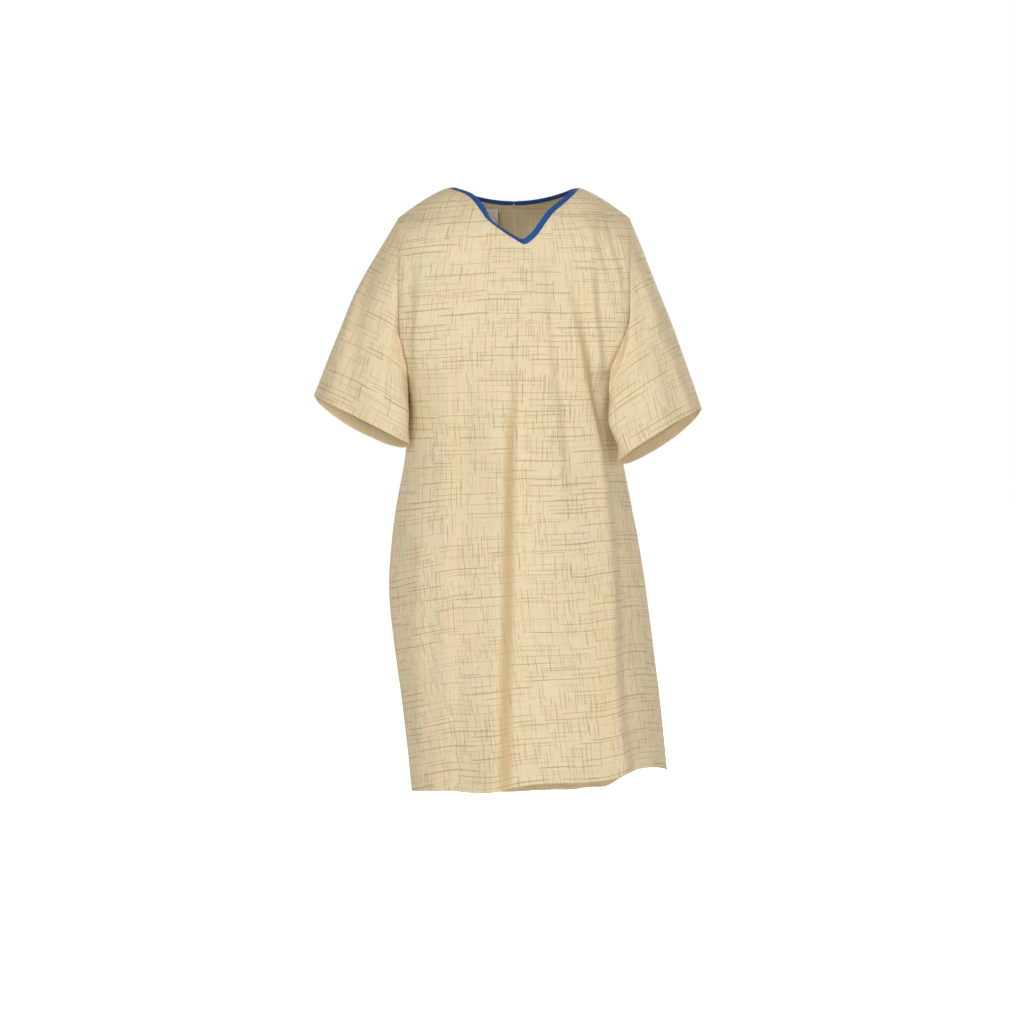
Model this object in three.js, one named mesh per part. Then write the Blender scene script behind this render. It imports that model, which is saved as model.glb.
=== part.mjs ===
/**
 * Patient gown: knee length, V neck with a contrast binding, wide short sleeves, open down the
 * back and tied at the neck, shown filled out as it is when somebody wears it.
 *
 * Frame, in millimetres: +Z up, -Y is the front of the gown, +X is the wearer's left. The origin is
 * the middle of the shoulder line at the neck, where the gown hangs on its wearer.
 *
 * Every cloth piece is a sheet: a grid of points with a normal at each, rows running down the cloth
 * and columns across it. A sheet becomes a closed shell between two depths under its outer face, so
 * the hems and seams made from the same grid lie parallel to their panel and never cut it.
 */
import * as THREE from 'three';

// ---- Driving dimensions ------------------------------------------------------------------------

const PANEL_DEPTH = 2.5; // solid depth of one panel
const FINISH_DEPTH = 1; // solid depth of a turned hem or a seam allowance
const CLEARANCE = 0.5; // between two pieces that are sewn together
const SEAM_GAP = 1; // between the edges of two panels along a side or shoulder seam
const SLEEVE_GAP = 2; // between the armhole and the sleeve that swings on it
const FLAP_GAP = 2; // between a back panel and the part of it that swings

const NECK_HALF = 121; // neck point, from the centre
const ARMHOLE_HALF = 214; // top of the armhole, from the centre
const SHOULDER_DROP = 55;
const SHOULDER_ROUND = 100; // height over which the shoulder rolls from flat to upright
const UNDERARM_Z = -350;
const UNDERARM_HALF = 208;
const ARMHOLE_DEPTH = 85; // half the armhole, front to back

const HEM_TURN = 25; // height of the bottom hem
const V_POINT_X = 20;
const V_POINT_Z = -105;
const BACK_NECK_Z = -25;

const FLAP_TOP_Z = -75;
const FLAP_TOP_HALF = 10; // centre of the back to the swing line, at the back of the neck
const FLAP_HEM_HALF = 150; // and at the hem
const BACK_HEM_Z = -1140;
const BACK_CENTRE_SHIFT = 34; // how far the back opening drifts towards +X at the hem
const BACK_EDGE_HALF = [4, 8]; // centre of the back to the cloth's edge, at the top and the hem

const BINDING_GAP = 1.5; // from the cloth's edge to the binding
const BINDING_WIDTH = 10;
const BINDING_FRONT = 1; // how far the binding stands proud of the cloth
const BINDING_BACK = 3.5; // and how deep it goes behind the cloth's face

const TIE_WIDTH = 12;
const TIE_DEPTH = 1.2;
const TIE_LENGTH = 300;
const WAIST_Z = -450;
const TACK_HEIGHT = 14;
const TIE_PLAY = 1; // between the tack and the tie that swings below it

const BOW_PLACE = [0, 86, -28]; // the knot, behind the neck
const BOW_LEAN = Math.atan2(35, 50); // how the cloth slopes there
const LABEL_SIZE = [36, 52, 0.8];
const LABEL_PLACE = [-48, 82, -58];
const LABEL_LEAN = Math.atan2(24, 45);

// Half-width, sideways shift and front depth of the body, from the armhole's top down to the hem.
const halfWidth = through([
  [-1130, 242], [-900, 243], [-750, 241], [-650, 230], [-580, 218], [-500, 203],
  [-430, 197], [-385, 200], [UNDERARM_Z, UNDERARM_HALF], [-200, 211], [-SHOULDER_DROP, ARMHOLE_HALF],
]);
const sideShift = through([[-1130, 51], [-1010, 38], [-940, 30], [-880, 22], [-750, 7], [-600, 0]]);
const frontDepth = through([
  [-1130, 165], [-900, 156], [-750, 150], [-580, 144], [-430, 142], [UNDERARM_Z, 140],
  [-200, 130], [-105, 115], [0, 108],
]);
const backDepth = z => THREE.MathUtils.mapLinear(z, -100, BACK_HEM_Z, 116, 145);
// Roundness of the cross-section: 1 is an ellipse, less is squarer, more is pointed at the side seams.
const sectionPower = through([[-800, 1.25], [-600, 1.15], [-330, 0.85]]);

// Height of the front neckline over x, of the front hem over the angle across the front, and of the
// back hem over x.
const frontNeckline = through([
  [-NECK_HALF, 0], [-82, -17], [-64, -37], [-49, -60], [-17, -87], [V_POINT_X, V_POINT_Z],
  [43, -93], [54, -74], [68, -52], [96, -26], [NECK_HALF, 0],
]);
const frontHem = through([
  [-90, -1129], [-50, -1111], [-25, -1106], [0, -1088], [30, -1085], [45, -1073], [60, -1072],
  [90, -1087],
]);
const backHem = through([
  [-191, -1129], [-116, -1150], [-50, -1157], [34, -1154], [174, -1147], [208, -1128],
  [236, -1109], [293, -1087],
]);

// Sleeves: the cuff's centre, the way from it to the outer corner, and to its front and back edge.
const CUFFS = {
  left: { centre: [269, -50, -456], outer: [80, 35, 47], front: [0, -60, 10], back: [0, 60, -27] },
  right: { centre: [-281, -50, -427], outer: [-90, 35, 43], front: [0, -60, 3], back: [0, 60, -29] },
};
const SLEEVE_FULLNESS = { left: 3, right: 9 }; // how far the sleeve's top line bows outwards
const SLEEVE_COLUMNS = 20;
const SLEEVE_ROWS = [0, 0.05, 0.3, 0.6, 0.93, 1]; // armhole seam first, sleeve hem last
const SIDES = { left: 1, right: -1 };

// Rows down a panel: fractions from the top edge to the underarm, then from there to the hem.
const UPPER_ROWS = [0, 0.02, 0.06, 0.13, 0.25, 0.4, 0.6, 0.8, 0.92, 1];
const LOWER_ROWS = [0.08, 0.17, 0.27, 0.37, 0.47, 0.57, 0.67, 0.77, 0.87, 0.966, 1];
// Columns across the shoulder, as angles from the centre of the front, and across the neckline.
const SHOULDER_COLUMNS = [46, 58, 70, 84, 90];
const NECKLINE_X = [-NECK_HALF, -85, -62, -45, -15, V_POINT_X, 42, 55, 70, 95, NECK_HALF];
// The swinging part of the back: columns as shares of its width, and heights of its inner rows.
const FLAP_COLUMNS = [0, 0.1, 0.4, 0.7, 1];
const FLAP_ROWS_Z = [-90, -105, -250, -400, -550, -700, -850, -1000];

// ---- Curves and sheets -------------------------------------------------------------------------

const vector = (x, y, z) => new THREE.Vector3(x, y, z);
const turn = THREE.MathUtils.degToRad;

// A smooth curve through [position, value] stations, level beyond the first and the last.
function through(stations) {
  const last = stations.length - 1;
  const slope = i => {
    const before = stations[Math.max(i - 1, 0)];
    const after = stations[Math.min(i + 1, last)];
    return (after[1] - before[1]) / (after[0] - before[0]);
  };
  return position => {
    if (position <= stations[0][0]) return stations[0][1];
    if (position >= stations[last][0]) return stations[last][1];
    const i = stations.findIndex(([place]) => place > position) - 1;
    const span = stations[i + 1][0] - stations[i][0];
    const t = (position - stations[i][0]) / span;
    const rise = stations[i + 1][1] - stations[i][1];
    const start = slope(i) * span;
    const end = slope(i + 1) * span;
    return stations[i][1] + start * t + (3 * rise - 2 * start - end) * t ** 2
      + (start + end - 2 * rise) * t ** 3;
  };
}

// A grid of points becomes a sheet by getting a normal at each point, from the grid's own slopes.
// outward says which way one of the normals has to point, and ring joins the last column to the first.
function sheetOf(points, outward, ring = false) {
  const rows = points.length;
  const columns = points[0].length;
  const column = c => (ring ? (c + columns) % columns : Math.min(Math.max(c, 0), columns - 1));
  const normals = points.map((line, r) => line.map((_, c) => {
    const down = points[Math.min(r + 1, rows - 1)][c].clone().sub(points[Math.max(r - 1, 0)][c]);
    const across = points[r][column(c + 1)].clone().sub(points[r][column(c - 1)]);
    return down.cross(across).normalize();
  }));
  const middle = normals[rows >> 1][columns >> 1];
  if (middle.dot(outward) < 0) normals.flat().forEach(normal => normal.negate());
  return { points, normals, ring };
}

// Part of a sheet, from one row and column to another, both included.
function crop(sheet, [firstRow, lastRow], [firstColumn, lastColumn]) {
  const cut = grid => grid.slice(firstRow, lastRow + 1)
    .map(line => line.slice(firstColumn, lastColumn + 1));
  const ring = sheet.ring && lastColumn - firstColumn + 1 === sheet.points[0].length;
  return { points: cut(sheet.points), normals: cut(sheet.normals), ring };
}

// Sheets laid side by side, column against column.
function beside(...sheets) {
  const joined = key => sheets[0][key].map((_, r) => sheets.flatMap(sheet => sheet[key][r]));
  return { points: joined('points'), normals: joined('normals'), ring: false };
}

// Normals along a seam lie in the seam's plane, so the two shells that meet there stay apart.
function levelNormals(lines, axis) {
  lines.forEach(normal => normal.setComponent(axis, 0).normalize());
}

// The closed solid between two depths under a sheet, with its faces pointing out.
function shell(sheet, outerDepth, innerDepth) {
  const { points, normals, ring } = sheet;
  const rows = points.length;
  const columns = points[0].length;
  const vertices = [outerDepth, innerDepth].flatMap(depth => points.flatMap((line, r) =>
    line.flatMap((point, c) => point.clone().addScaledVector(normals[r][c], -depth).toArray())));
  const at = (skin, r, c) => skin * rows * columns + r * columns + (c % columns);
  const faces = [];
  const quad = (a, b, c, d) => faces.push([a, b, c], [a, c, d]);
  const spans = ring ? columns : columns - 1;
  const foot = rows - 1;
  for (let c = 0; c < spans; c++) {
    for (let r = 0; r < foot; r++) {
      quad(at(0, r, c), at(0, r, c + 1), at(0, r + 1, c + 1), at(0, r + 1, c));
      quad(at(1, r, c), at(1, r + 1, c), at(1, r + 1, c + 1), at(1, r, c + 1));
    }
    quad(at(1, 0, c), at(1, 0, c + 1), at(0, 0, c + 1), at(0, 0, c));
    quad(at(0, foot, c), at(0, foot, c + 1), at(1, foot, c + 1), at(1, foot, c));
  }
  for (let r = 0; !ring && r < foot; r++) {
    quad(at(0, r, 0), at(0, r + 1, 0), at(1, r + 1, 0), at(1, r, 0));
    quad(at(0, r, spans), at(1, r, spans), at(1, r + 1, spans), at(0, r + 1, spans));
  }
  return closedGeometry(vertices, faces);
}

// Triangles that close on themselves, turned inside out if they enclose a negative volume.
function closedGeometry(vertices, faces) {
  const corner = i => vector(...vertices.slice(3 * i, 3 * i + 3));
  const volume = faces.reduce((sum, [a, b, c]) => sum + corner(a).dot(corner(b).cross(corner(c))), 0);
  const index = volume < 0 ? faces.flatMap(([a, b, c]) => [a, c, b]) : faces.flat();
  const geometry = new THREE.BufferGeometry();
  geometry.setAttribute('position', new THREE.Float32BufferAttribute(vertices, 3));
  geometry.setIndex(index);
  geometry.computeVertexNormals();
  return geometry;
}

// ---- The gown's surfaces -----------------------------------------------------------------------

const shoulderHeight = x => {
  const out = THREE.MathUtils.clamp((Math.abs(x) - NECK_HALF) / (ARMHOLE_HALF - NECK_HALF), 0, 1);
  return -SHOULDER_DROP * out ** 1.3;
};
const armholeHalfDepth = z => {
  const middle = (UNDERARM_Z - SHOULDER_DROP) / 2;
  const half = (-SHOULDER_DROP - UNDERARM_Z) / 2;
  return ARMHOLE_DEPTH * Math.sqrt(Math.max(1 - ((z - middle) / half) ** 2, 0));
};
const shoulderRoll = (x, z) => {
  const below = THREE.MathUtils.clamp((shoulderHeight(x) - z) / SHOULDER_ROUND, 0, 1);
  return Math.sqrt(1 - (1 - below) ** 2);
};

// Depth of the cloth from the side plane, for a full depth and an angle from the centre of the face.
function clothDepth(full, angle, x, z) {
  const edge = z > UNDERARM_Z ? armholeHalfDepth(z) : 0;
  const facing = Math.max(Math.cos(turn(angle)), 0) ** sectionPower(z);
  return edge + (full * shoulderRoll(x, z) - edge) * facing;
}

function frontPoint(angle, z) {
  const x = sideShift(z) + halfWidth(z) * Math.sin(turn(angle));
  const seam = Math.abs(angle) === 90 || z >= shoulderHeight(x) ? SEAM_GAP / 2 : 0;
  return vector(x, -Math.max(clothDepth(frontDepth(z), angle, x, z), seam), z);
}

const backCentre = z => THREE.MathUtils.mapLinear(z, BACK_NECK_Z, BACK_HEM_Z, 0, BACK_CENTRE_SHIFT);
const flapHalf = z => THREE.MathUtils.mapLinear(z, BACK_NECK_Z, BACK_HEM_Z, FLAP_TOP_HALF, FLAP_HEM_HALF);

// Back panel outside the swing line: angle 0 lies on the line and 90 at the side seam.
function backPoint(side, angle, z) {
  const seamX = sideShift(z) + side * halfWidth(z);
  const lineX = backCentre(z) + side * (flapHalf(z) + FLAP_GAP / 2);
  const x = lineX + (seamX - lineX) * Math.sin(turn(angle));
  const seam = angle === 90 || z >= shoulderHeight(x) ? SEAM_GAP / 2 : 0;
  return vector(x, Math.max(clothDepth(backDepth(z), angle, x, z), seam), z);
}

// Heights down one column, from its top edge past the underarm to its hem.
function columnHeights(top, hem) {
  const upper = UPPER_ROWS.map(part => THREE.MathUtils.lerp(top, UNDERARM_Z, part));
  const lower = LOWER_ROWS.map(part => THREE.MathUtils.lerp(UNDERARM_Z, hem, part));
  return [...upper, ...lower];
}

const transpose = columns => columns[0].map((_, r) => columns.map(column => column[r]));

function frontSheet() {
  const neckAngles = NECKLINE_X.map(x => THREE.MathUtils.radToDeg(Math.asin(x / ARMHOLE_HALF)));
  const angles = [
    ...SHOULDER_COLUMNS.map(angle => -angle).reverse(), ...neckAngles, ...SHOULDER_COLUMNS,
  ];
  const columns = angles.map(angle => {
    const x = ARMHOLE_HALF * Math.sin(turn(angle));
    const top = Math.abs(x) <= NECK_HALF + 0.01 ? frontNeckline(x) : shoulderHeight(x);
    return columnHeights(top, frontHem(angle)).map(z => frontPoint(angle, z));
  });
  const sheet = sheetOf(transpose(columns), vector(0, -1, 0));
  const [first, last] = [0, angles.length - 1];
  levelNormals(sheet.normals.slice(UPPER_ROWS.length - 1).flatMap(line => [line[first], line[last]]), 1);
  levelNormals(sheet.normals[0].filter((_, c) => Math.abs(angles[c]) > neckAngles.at(-1) - 0.01), 1);
  return sheet;
}

// Columns of a back panel that sit over the front panel's shoulder columns, with three of its own.
function backSheet(side) {
  const line = FLAP_TOP_HALF + FLAP_GAP / 2;
  const angleAt = x => THREE.MathUtils.radToDeg(Math.asin((x - line) / (ARMHOLE_HALF - line)));
  const neckX = [line, 45, 85, NECK_HALF];
  const shoulderX = SHOULDER_COLUMNS.map(angle => ARMHOLE_HALF * Math.sin(turn(angle)));
  const columns = [...neckX, ...shoulderX].map(x => {
    const angle = x === ARMHOLE_HALF ? 90 : angleAt(x);
    const neck = BACK_NECK_Z * (1 - (x / NECK_HALF) ** 2);
    const top = x <= NECK_HALF ? neck : shoulderHeight(x);
    let hem = BACK_HEM_Z;
    for (let step = 0; step < 4; step++) hem = backHem(backPoint(side, angle, hem).x);
    return columnHeights(top, hem).map(z => backPoint(side, angle, z));
  });
  const sheet = sheetOf(transpose(columns), vector(0, 1, 0));
  levelNormals(sheet.normals.slice(UPPER_ROWS.length - 1).map(line => line.at(-1)), 1);
  levelNormals(sheet.normals[0].slice(neckX.length - 1), 1);
  return sheet;
}

// The swinging part of a back panel, flat between the centre edge and the swing line.
function flapSheet(side) {
  const columns = FLAP_COLUMNS.map(share => {
    const place = z => {
      const edge = THREE.MathUtils.mapLinear(z, FLAP_TOP_Z, BACK_HEM_Z, ...BACK_EDGE_HALF);
      const x = THREE.MathUtils.lerp(edge, flapHalf(z) - FLAP_GAP / 2, share);
      return vector(backCentre(z) + side * x, backDepth(z) * shoulderRoll(0, z), z);
    };
    let hem = BACK_HEM_Z;
    for (let step = 0; step < 4; step++) hem = backHem(place(hem).x);
    return [FLAP_TOP_Z, ...FLAP_ROWS_Z, hem + HEM_TURN, hem].map(place);
  });
  return sheetOf(transpose(columns), vector(0, 1, 0));
}

// A sleeve runs from the armhole, rows first, to the cuff. Column 0 is its top line, then it goes
// round by the front.
function sleeveSheet(name) {
  const side = SIDES[name];
  const cuff = Object.fromEntries(Object.entries(CUFFS[name]).map(([key, at]) => [key, vector(...at)]));
  const middle = (UNDERARM_Z - SHOULDER_DROP) / 2;
  const half = (-SHOULDER_DROP - UNDERARM_Z) / 2;
  const rows = SLEEVE_ROWS.map(down => Array.from({ length: SLEEVE_COLUMNS }, (_, c) => {
    const angle = (c / SLEEVE_COLUMNS) * 2 * Math.PI;
    const up = Math.cos(angle);
    const forward = Math.sin(angle);
    const z = middle + half * up;
    const start = vector(side * (halfWidth(z) + SLEEVE_GAP), -ARMHOLE_DEPTH * forward, z);
    const end = cuff.centre.clone().addScaledVector(cuff.outer, up)
      .addScaledVector(forward > 0 ? cuff.front : cuff.back, Math.abs(forward));
    const bow = SLEEVE_FULLNESS[name] * Math.max(up, 0) * Math.sin(down * Math.PI);
    return start.lerp(end, down).add(vector(side * bow, 0, bow / 2));
  }));
  const sheet = sheetOf(rows, cuff.outer.clone().negate(), true);
  // At the armhole no normal leans away from the body, so the sleeve's shell stays off the panels.
  sheet.normals[0].forEach(normal => normal.setX(side * Math.min(side * normal.x, 0)).normalize());
  return sheet;
}

// ---- Trims and ties ----------------------------------------------------------------------------

// The binding is a band on the edge of the neckline, mitred where the path turns. Its path runs from
// the right edge of the back opening round the front to the left one.
function bindingGeometry(front, backs) {
  const neckFrom = SHOULDER_COLUMNS.length;
  const neckTo = neckFrom + NECKLINE_X.length - 1;
  const half = back => [0, 1, 2].map(c => [back.points[0][c], back.normals[0][c]]);
  const across = front.points[0].slice(neckFrom, neckTo + 1)
    .map((point, i) => [point, front.normals[0][neckFrom + i]]);
  const path = [...half(backs.right), ...across, ...half(backs.left).reverse()];
  const vertices = path.flatMap(([point, normal], i) => {
    const before = path[Math.max(i - 1, 0)][0];
    const after = path[Math.min(i + 1, path.length - 1)][0];
    const arriving = point.clone().sub(before).normalize();
    const leaving = after.clone().sub(point).normalize();
    const along = arriving.clone().add(leaving).normalize();
    const straight = i === 0 || i === path.length - 1 ? 1 : along.dot(leaving);
    const inwards = normal.clone().cross(along).normalize().divideScalar(straight);
    const place = (width, proud) => point.clone().addScaledVector(inwards, width)
      .addScaledVector(normal, proud).toArray();
    const far = BINDING_GAP + BINDING_WIDTH;
    return [
      ...place(BINDING_GAP, BINDING_FRONT), ...place(far, BINDING_FRONT),
      ...place(far, -BINDING_BACK), ...place(BINDING_GAP, -BINDING_BACK),
    ];
  });
  return sweptGeometry(vertices, path.length, 4);
}

// Closes a run of equal sections, each a loop of corners, into one solid.
function sweptGeometry(vertices, sections, corners) {
  const faces = [];
  for (let s = 0; s < sections - 1; s++) {
    for (let k = 0; k < corners; k++) {
      const next = (k + 1) % corners;
      const [a, b] = [s * corners + k, s * corners + next];
      faces.push([a, b, b + corners], [a, b + corners, a + corners]);
    }
  }
  const end = (sections - 1) * corners;
  for (let k = 1; k < corners - 1; k++) {
    faces.push([0, k + 1, k], [end, end + k, end + k + 1]);
  }
  return closedGeometry(vertices, faces);
}

// One half of the neck bow: a loop and a tail cut from one flat outline, lying on the sloping cloth.
function neckTieGeometry(side) {
  const outline = new THREE.Shape();
  outline.moveTo(6, 4);
  outline.bezierCurveTo(22, 20, 52, 20, 54, 2);
  outline.bezierCurveTo(54, -12, 34, -12, 19, -6);
  outline.lineTo(42, -58);
  outline.lineTo(31, -62);
  outline.lineTo(6, -6);
  const hole = new THREE.Path();
  hole.moveTo(20, 2);
  hole.bezierCurveTo(32, -4, 44, -4, 45, 2);
  hole.bezierCurveTo(44, 10, 30, 10, 20, 4);
  outline.holes.push(hole);
  const geometry = new THREE.ExtrudeGeometry(outline, { depth: 2, bevelEnabled: false, curveSegments: 5 });
  return side > 0 ? geometry : geometry.rotateY(Math.PI).translate(0, 0, 2);
}

function knotGeometry() {
  const outline = new THREE.Shape();
  outline.absellipse(0, 0, 5, 6, 0, 2 * Math.PI);
  return new THREE.ExtrudeGeometry(outline, { depth: 6, bevelEnabled: false, curveSegments: 5 });
}

// A flat rectangle lying on the back cloth: width across, height down, depth outwards.
const plate = (width, height, depth) => new THREE.BoxGeometry(width, depth, height);

// ---- Assembly ----------------------------------------------------------------------------------

const gown = new THREE.Group();
const COLOURS = { cloth: 0xdccb9f, seam: 0xd2bf90, binding: 0x1a4fa0, tape: 0xe4d8b4, label: 0xf4f2ea };

function addPiece(name, geometry, colour, parent = gown) {
  const material = new THREE.MeshStandardMaterial({ color: colour, roughness: 0.88, metalness: 0 });
  const piece = new THREE.Mesh(geometry, material);
  piece.name = name;
  parent.add(piece);
  return piece;
}

// Depths under the outer face: the panel itself, a hem or seam against it, and one over that.
const LAYERS = [0, 1, 2].map(layer => {
  const outer = layer === 0 ? 0 : PANEL_DEPTH + layer * CLEARANCE + (layer - 1) * FINISH_DEPTH;
  return [outer, outer + (layer === 0 ? PANEL_DEPTH : FINISH_DEPTH)];
});

const front = frontSheet();
const backs = { left: backSheet(SIDES.left), right: backSheet(SIDES.right) };
const lastRow = front.points.length - 1;
const lastColumn = front.points[0].length - 1;
const sideSeamRow = UPPER_ROWS.length - 1;

addPiece('front_panel', shell(front, ...LAYERS[0]), COLOURS.cloth);
const frontHemSheet = crop(front, [lastRow - 1, lastRow], [0, lastColumn]);
addPiece('front_hem', shell(frontHemSheet, ...LAYERS[1]), COLOURS.seam);
addPiece('neck_binding', bindingGeometry(front, backs), COLOURS.binding);

for (const [name, side] of Object.entries(SIDES)) {
  const back = backs[name];
  const backEnd = back.points[0].length - 1;
  addPiece(`${name}_back_panel`, shell(back, ...LAYERS[0]), COLOURS.cloth);
  const backHemSheet = crop(back, [lastRow - 1, lastRow], [0, backEnd]);
  addPiece(`${name}_back_hem`, shell(backHemSheet, ...LAYERS[1]), COLOURS.seam);

  // Side seam: the last column of the front beside the last one of the back.
  const rows = [sideSeamRow, lastRow];
  const frontEdge = side > 0 ? [lastColumn - 1, lastColumn] : [0, 1];
  const frontStrip = crop(front, rows, frontEdge);
  const backStrip = crop(back, rows, [backEnd - 1, backEnd]);
  const mirrored = sheet => ({
    points: sheet.points.map(line => [...line].reverse()),
    normals: sheet.normals.map(line => [...line].reverse()),
    ring: false,
  });
  const sideStrip = side > 0 ? beside(frontStrip, mirrored(backStrip)) : beside(backStrip, frontStrip);
  addPiece(`${name}_side_seam`, shell(sideStrip, ...LAYERS[2]), COLOURS.seam);

  // Shoulder seam: the top rows of the front and the back over the ridge of the shoulder.
  const first = NECKLINE_X.length - 1 + SHOULDER_COLUMNS.length;
  const shoulderColumns = side > 0 ? [first, lastColumn - 1] : [1, SHOULDER_COLUMNS.length];
  const shoulderFront = crop(front, [0, 1], shoulderColumns);
  const frontRows = side > 0 ? shoulderFront : mirrored(shoulderFront);
  const backRows = crop(back, [0, 1], [backEnd - SHOULDER_COLUMNS.length, backEnd - 1]);
  const ridge = key => [frontRows[key][1], frontRows[key][0], backRows[key][0], backRows[key][1]];
  const ridgeSheet = { points: ridge('points'), normals: ridge('normals'), ring: false };
  addPiece(`${name}_shoulder_seam`, shell(ridgeSheet, ...LAYERS[2]), COLOURS.seam);

  // Sleeve, with the seam allowance round the armhole, the underarm seam and the turned hem.
  const sleeve = sleeveSheet(name);
  const cuffRow = SLEEVE_ROWS.length - 1;
  const around = [0, SLEEVE_COLUMNS - 1];
  const under = SLEEVE_COLUMNS / 2;
  addPiece(`${name}_sleeve`, shell(sleeve, ...LAYERS[0]), COLOURS.cloth);
  addPiece(`${name}_armhole_seam`, shell(crop(sleeve, [0, 1], around), ...LAYERS[1]), COLOURS.seam);
  const cuffHem = crop(sleeve, [cuffRow - 1, cuffRow], around);
  addPiece(`${name}_sleeve_hem`, shell(cuffHem, ...LAYERS[1]), COLOURS.seam);
  const underarm = crop(sleeve, [1, cuffRow - 1], [under - 1, under + 1]);
  addPiece(`${name}_underarm_seam`, shell(underarm, ...LAYERS[2]), COLOURS.seam);

  // The swinging part of the back, its two hems, and the tie at its edge.
  const flap = flapSheet(side);
  const flapFoot = flap.points.length - 1;
  const flapEnd = flap.points[0].length - 1;
  addPiece(`${name}_back_flap`, shell(flap, ...LAYERS[0]), COLOURS.cloth);
  const flapHem = crop(flap, [flapFoot - 1, flapFoot], [0, flapEnd]);
  addPiece(`${name}_flap_hem`, shell(flapHem, ...LAYERS[1]), COLOURS.seam);
  addPiece(`${name}_back_edge_hem`, shell(crop(flap, [2, flapFoot], [0, 1]), ...LAYERS[2]), COLOURS.seam);

  const tieX = backCentre(WAIST_Z) + side * (BACK_EDGE_HALF[1] + TIE_WIDTH / 2);
  const tack = addPiece(`${name}_waist_tie_tack`, plate(TIE_WIDTH + 2, TACK_HEIGHT, TIE_DEPTH), COLOURS.tape);
  const lean = Math.atan2(backDepth(BACK_HEM_Z) - backDepth(WAIST_Z), WAIST_Z - BACK_HEM_Z);
  const tackY = backDepth(WAIST_Z) + CLEARANCE + TIE_DEPTH / 2;
  tack.position.set(tieX, tackY, WAIST_Z);
  tack.rotation.x = lean;
  const drop = TACK_HEIGHT / 2 + TIE_PLAY + TIE_LENGTH / 2;
  const tie = addPiece(`${name}_waist_tie`, plate(TIE_WIDTH, TIE_LENGTH, TIE_DEPTH), COLOURS.tape);
  tie.position.set(tieX, tackY + drop * Math.sin(lean), WAIST_Z - drop * Math.cos(lean));
  tie.rotation.x = lean;
}

// The bow at the back of the neck leans with the cloth below the neckline.
const bow = new THREE.Group();
bow.position.set(...BOW_PLACE);
bow.rotation.set(BOW_LEAN - Math.PI / 2, 0, Math.PI);
gown.add(bow);
for (const [name, side] of Object.entries(SIDES)) {
  addPiece(`${name}_neck_tie`, neckTieGeometry(-side), COLOURS.binding, bow);
}
addPiece('neck_tie_knot', knotGeometry(), COLOURS.binding, bow);

// The label hangs inside the right back panel, from just below the binding, and leans as the cloth
// there does.
const label = addPiece('care_label', plate(...LABEL_SIZE), COLOURS.label);
label.position.set(...LABEL_PLACE);
label.rotation.x = LABEL_LEAN;

export default gown;
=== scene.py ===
# %% [markdown]
# # A patient gown
# A patient gown is a knee-length coat of light poly-cotton, open down the back. It has a V neck
# bound in blue bias tape, wide short sleeves and plain turned hems. This file builds it as the
# cloth a maker would cut: one front, two backs and two sleeves, joined at the seams.
#
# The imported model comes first, because it fixes every size and every body that moves. Lengths are
# in metres, +Z is up, -Y is the front and +X is the wearer's left.

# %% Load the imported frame
import math

import bmesh
import bpy
import numpy as np
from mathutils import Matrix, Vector


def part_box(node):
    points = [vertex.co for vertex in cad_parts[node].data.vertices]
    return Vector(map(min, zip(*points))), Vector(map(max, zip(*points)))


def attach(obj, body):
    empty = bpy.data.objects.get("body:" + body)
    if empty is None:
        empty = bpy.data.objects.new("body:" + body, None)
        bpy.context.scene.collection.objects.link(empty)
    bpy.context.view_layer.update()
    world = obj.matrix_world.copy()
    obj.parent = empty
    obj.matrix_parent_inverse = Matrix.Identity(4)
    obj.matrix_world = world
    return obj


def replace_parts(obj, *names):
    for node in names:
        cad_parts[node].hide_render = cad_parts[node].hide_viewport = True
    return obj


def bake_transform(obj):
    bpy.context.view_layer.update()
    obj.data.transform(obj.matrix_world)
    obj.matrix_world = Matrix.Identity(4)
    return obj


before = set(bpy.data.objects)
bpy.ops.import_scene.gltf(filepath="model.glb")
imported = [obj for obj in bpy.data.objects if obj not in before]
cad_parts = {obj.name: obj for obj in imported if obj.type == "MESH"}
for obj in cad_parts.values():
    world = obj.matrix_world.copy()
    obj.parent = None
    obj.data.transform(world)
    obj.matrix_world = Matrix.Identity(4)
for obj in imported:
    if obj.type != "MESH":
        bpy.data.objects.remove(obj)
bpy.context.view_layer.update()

SIDES = {"left": 1, "right": -1}

# %% [markdown]
# ## Camera, light and floor
# A garment catalogue lights cloth softly from the front, so that folds show as gentle bands and
# not as hard shadows. One broad light beside the camera does that, with weaker ones at the side,
# above, below the hem and behind, so that the shoulders, the sleeves and the back read too. The
# camera stands well back with a long lens.

# %% Camera
EYE = Vector((-0.011, -4.6, -0.30))
AIM = Vector((-0.011, 0.0, -0.595))
VIEW_ANGLE = math.radians(23.3)


def look_at(place, target):
    """The turn that points an object's -Z axis from place to target."""
    return (target - place).to_track_quat("-Z", "Y")


camera = bpy.data.objects.new("camera", bpy.data.cameras.new("camera"))
bpy.context.scene.collection.objects.link(camera)
camera.location = EYE
camera.rotation_mode = "QUATERNION"
camera.rotation_quaternion = look_at(EYE, AIM)
camera.data.angle = VIEW_ANGLE
bpy.context.scene.camera = camera
print(f"camera {(AIM - EYE).length:.2f} m away, {math.degrees(VIEW_ANGLE):.1f} degrees wide")

# %% Lights
# Each light: its place, the length of its side, and its power in watts.
LIGHTS = {
    "key": ((-1.3, -4.5, 0.9), 1.6, 86),
    "fill": ((2.6, -3.9, 0.3), 1.8, 36),
    "top": ((0.3, -1.8, 2.2), 1.8, 13),
    "low": ((-0.4, -2.2, -1.4), 1.0, 8),
    "back_left": ((2.4, 3.4, 0.9), 1.6, 84),
    "back_right": ((-2.6, 3.2, 0.6), 1.8, 34),
}


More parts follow.
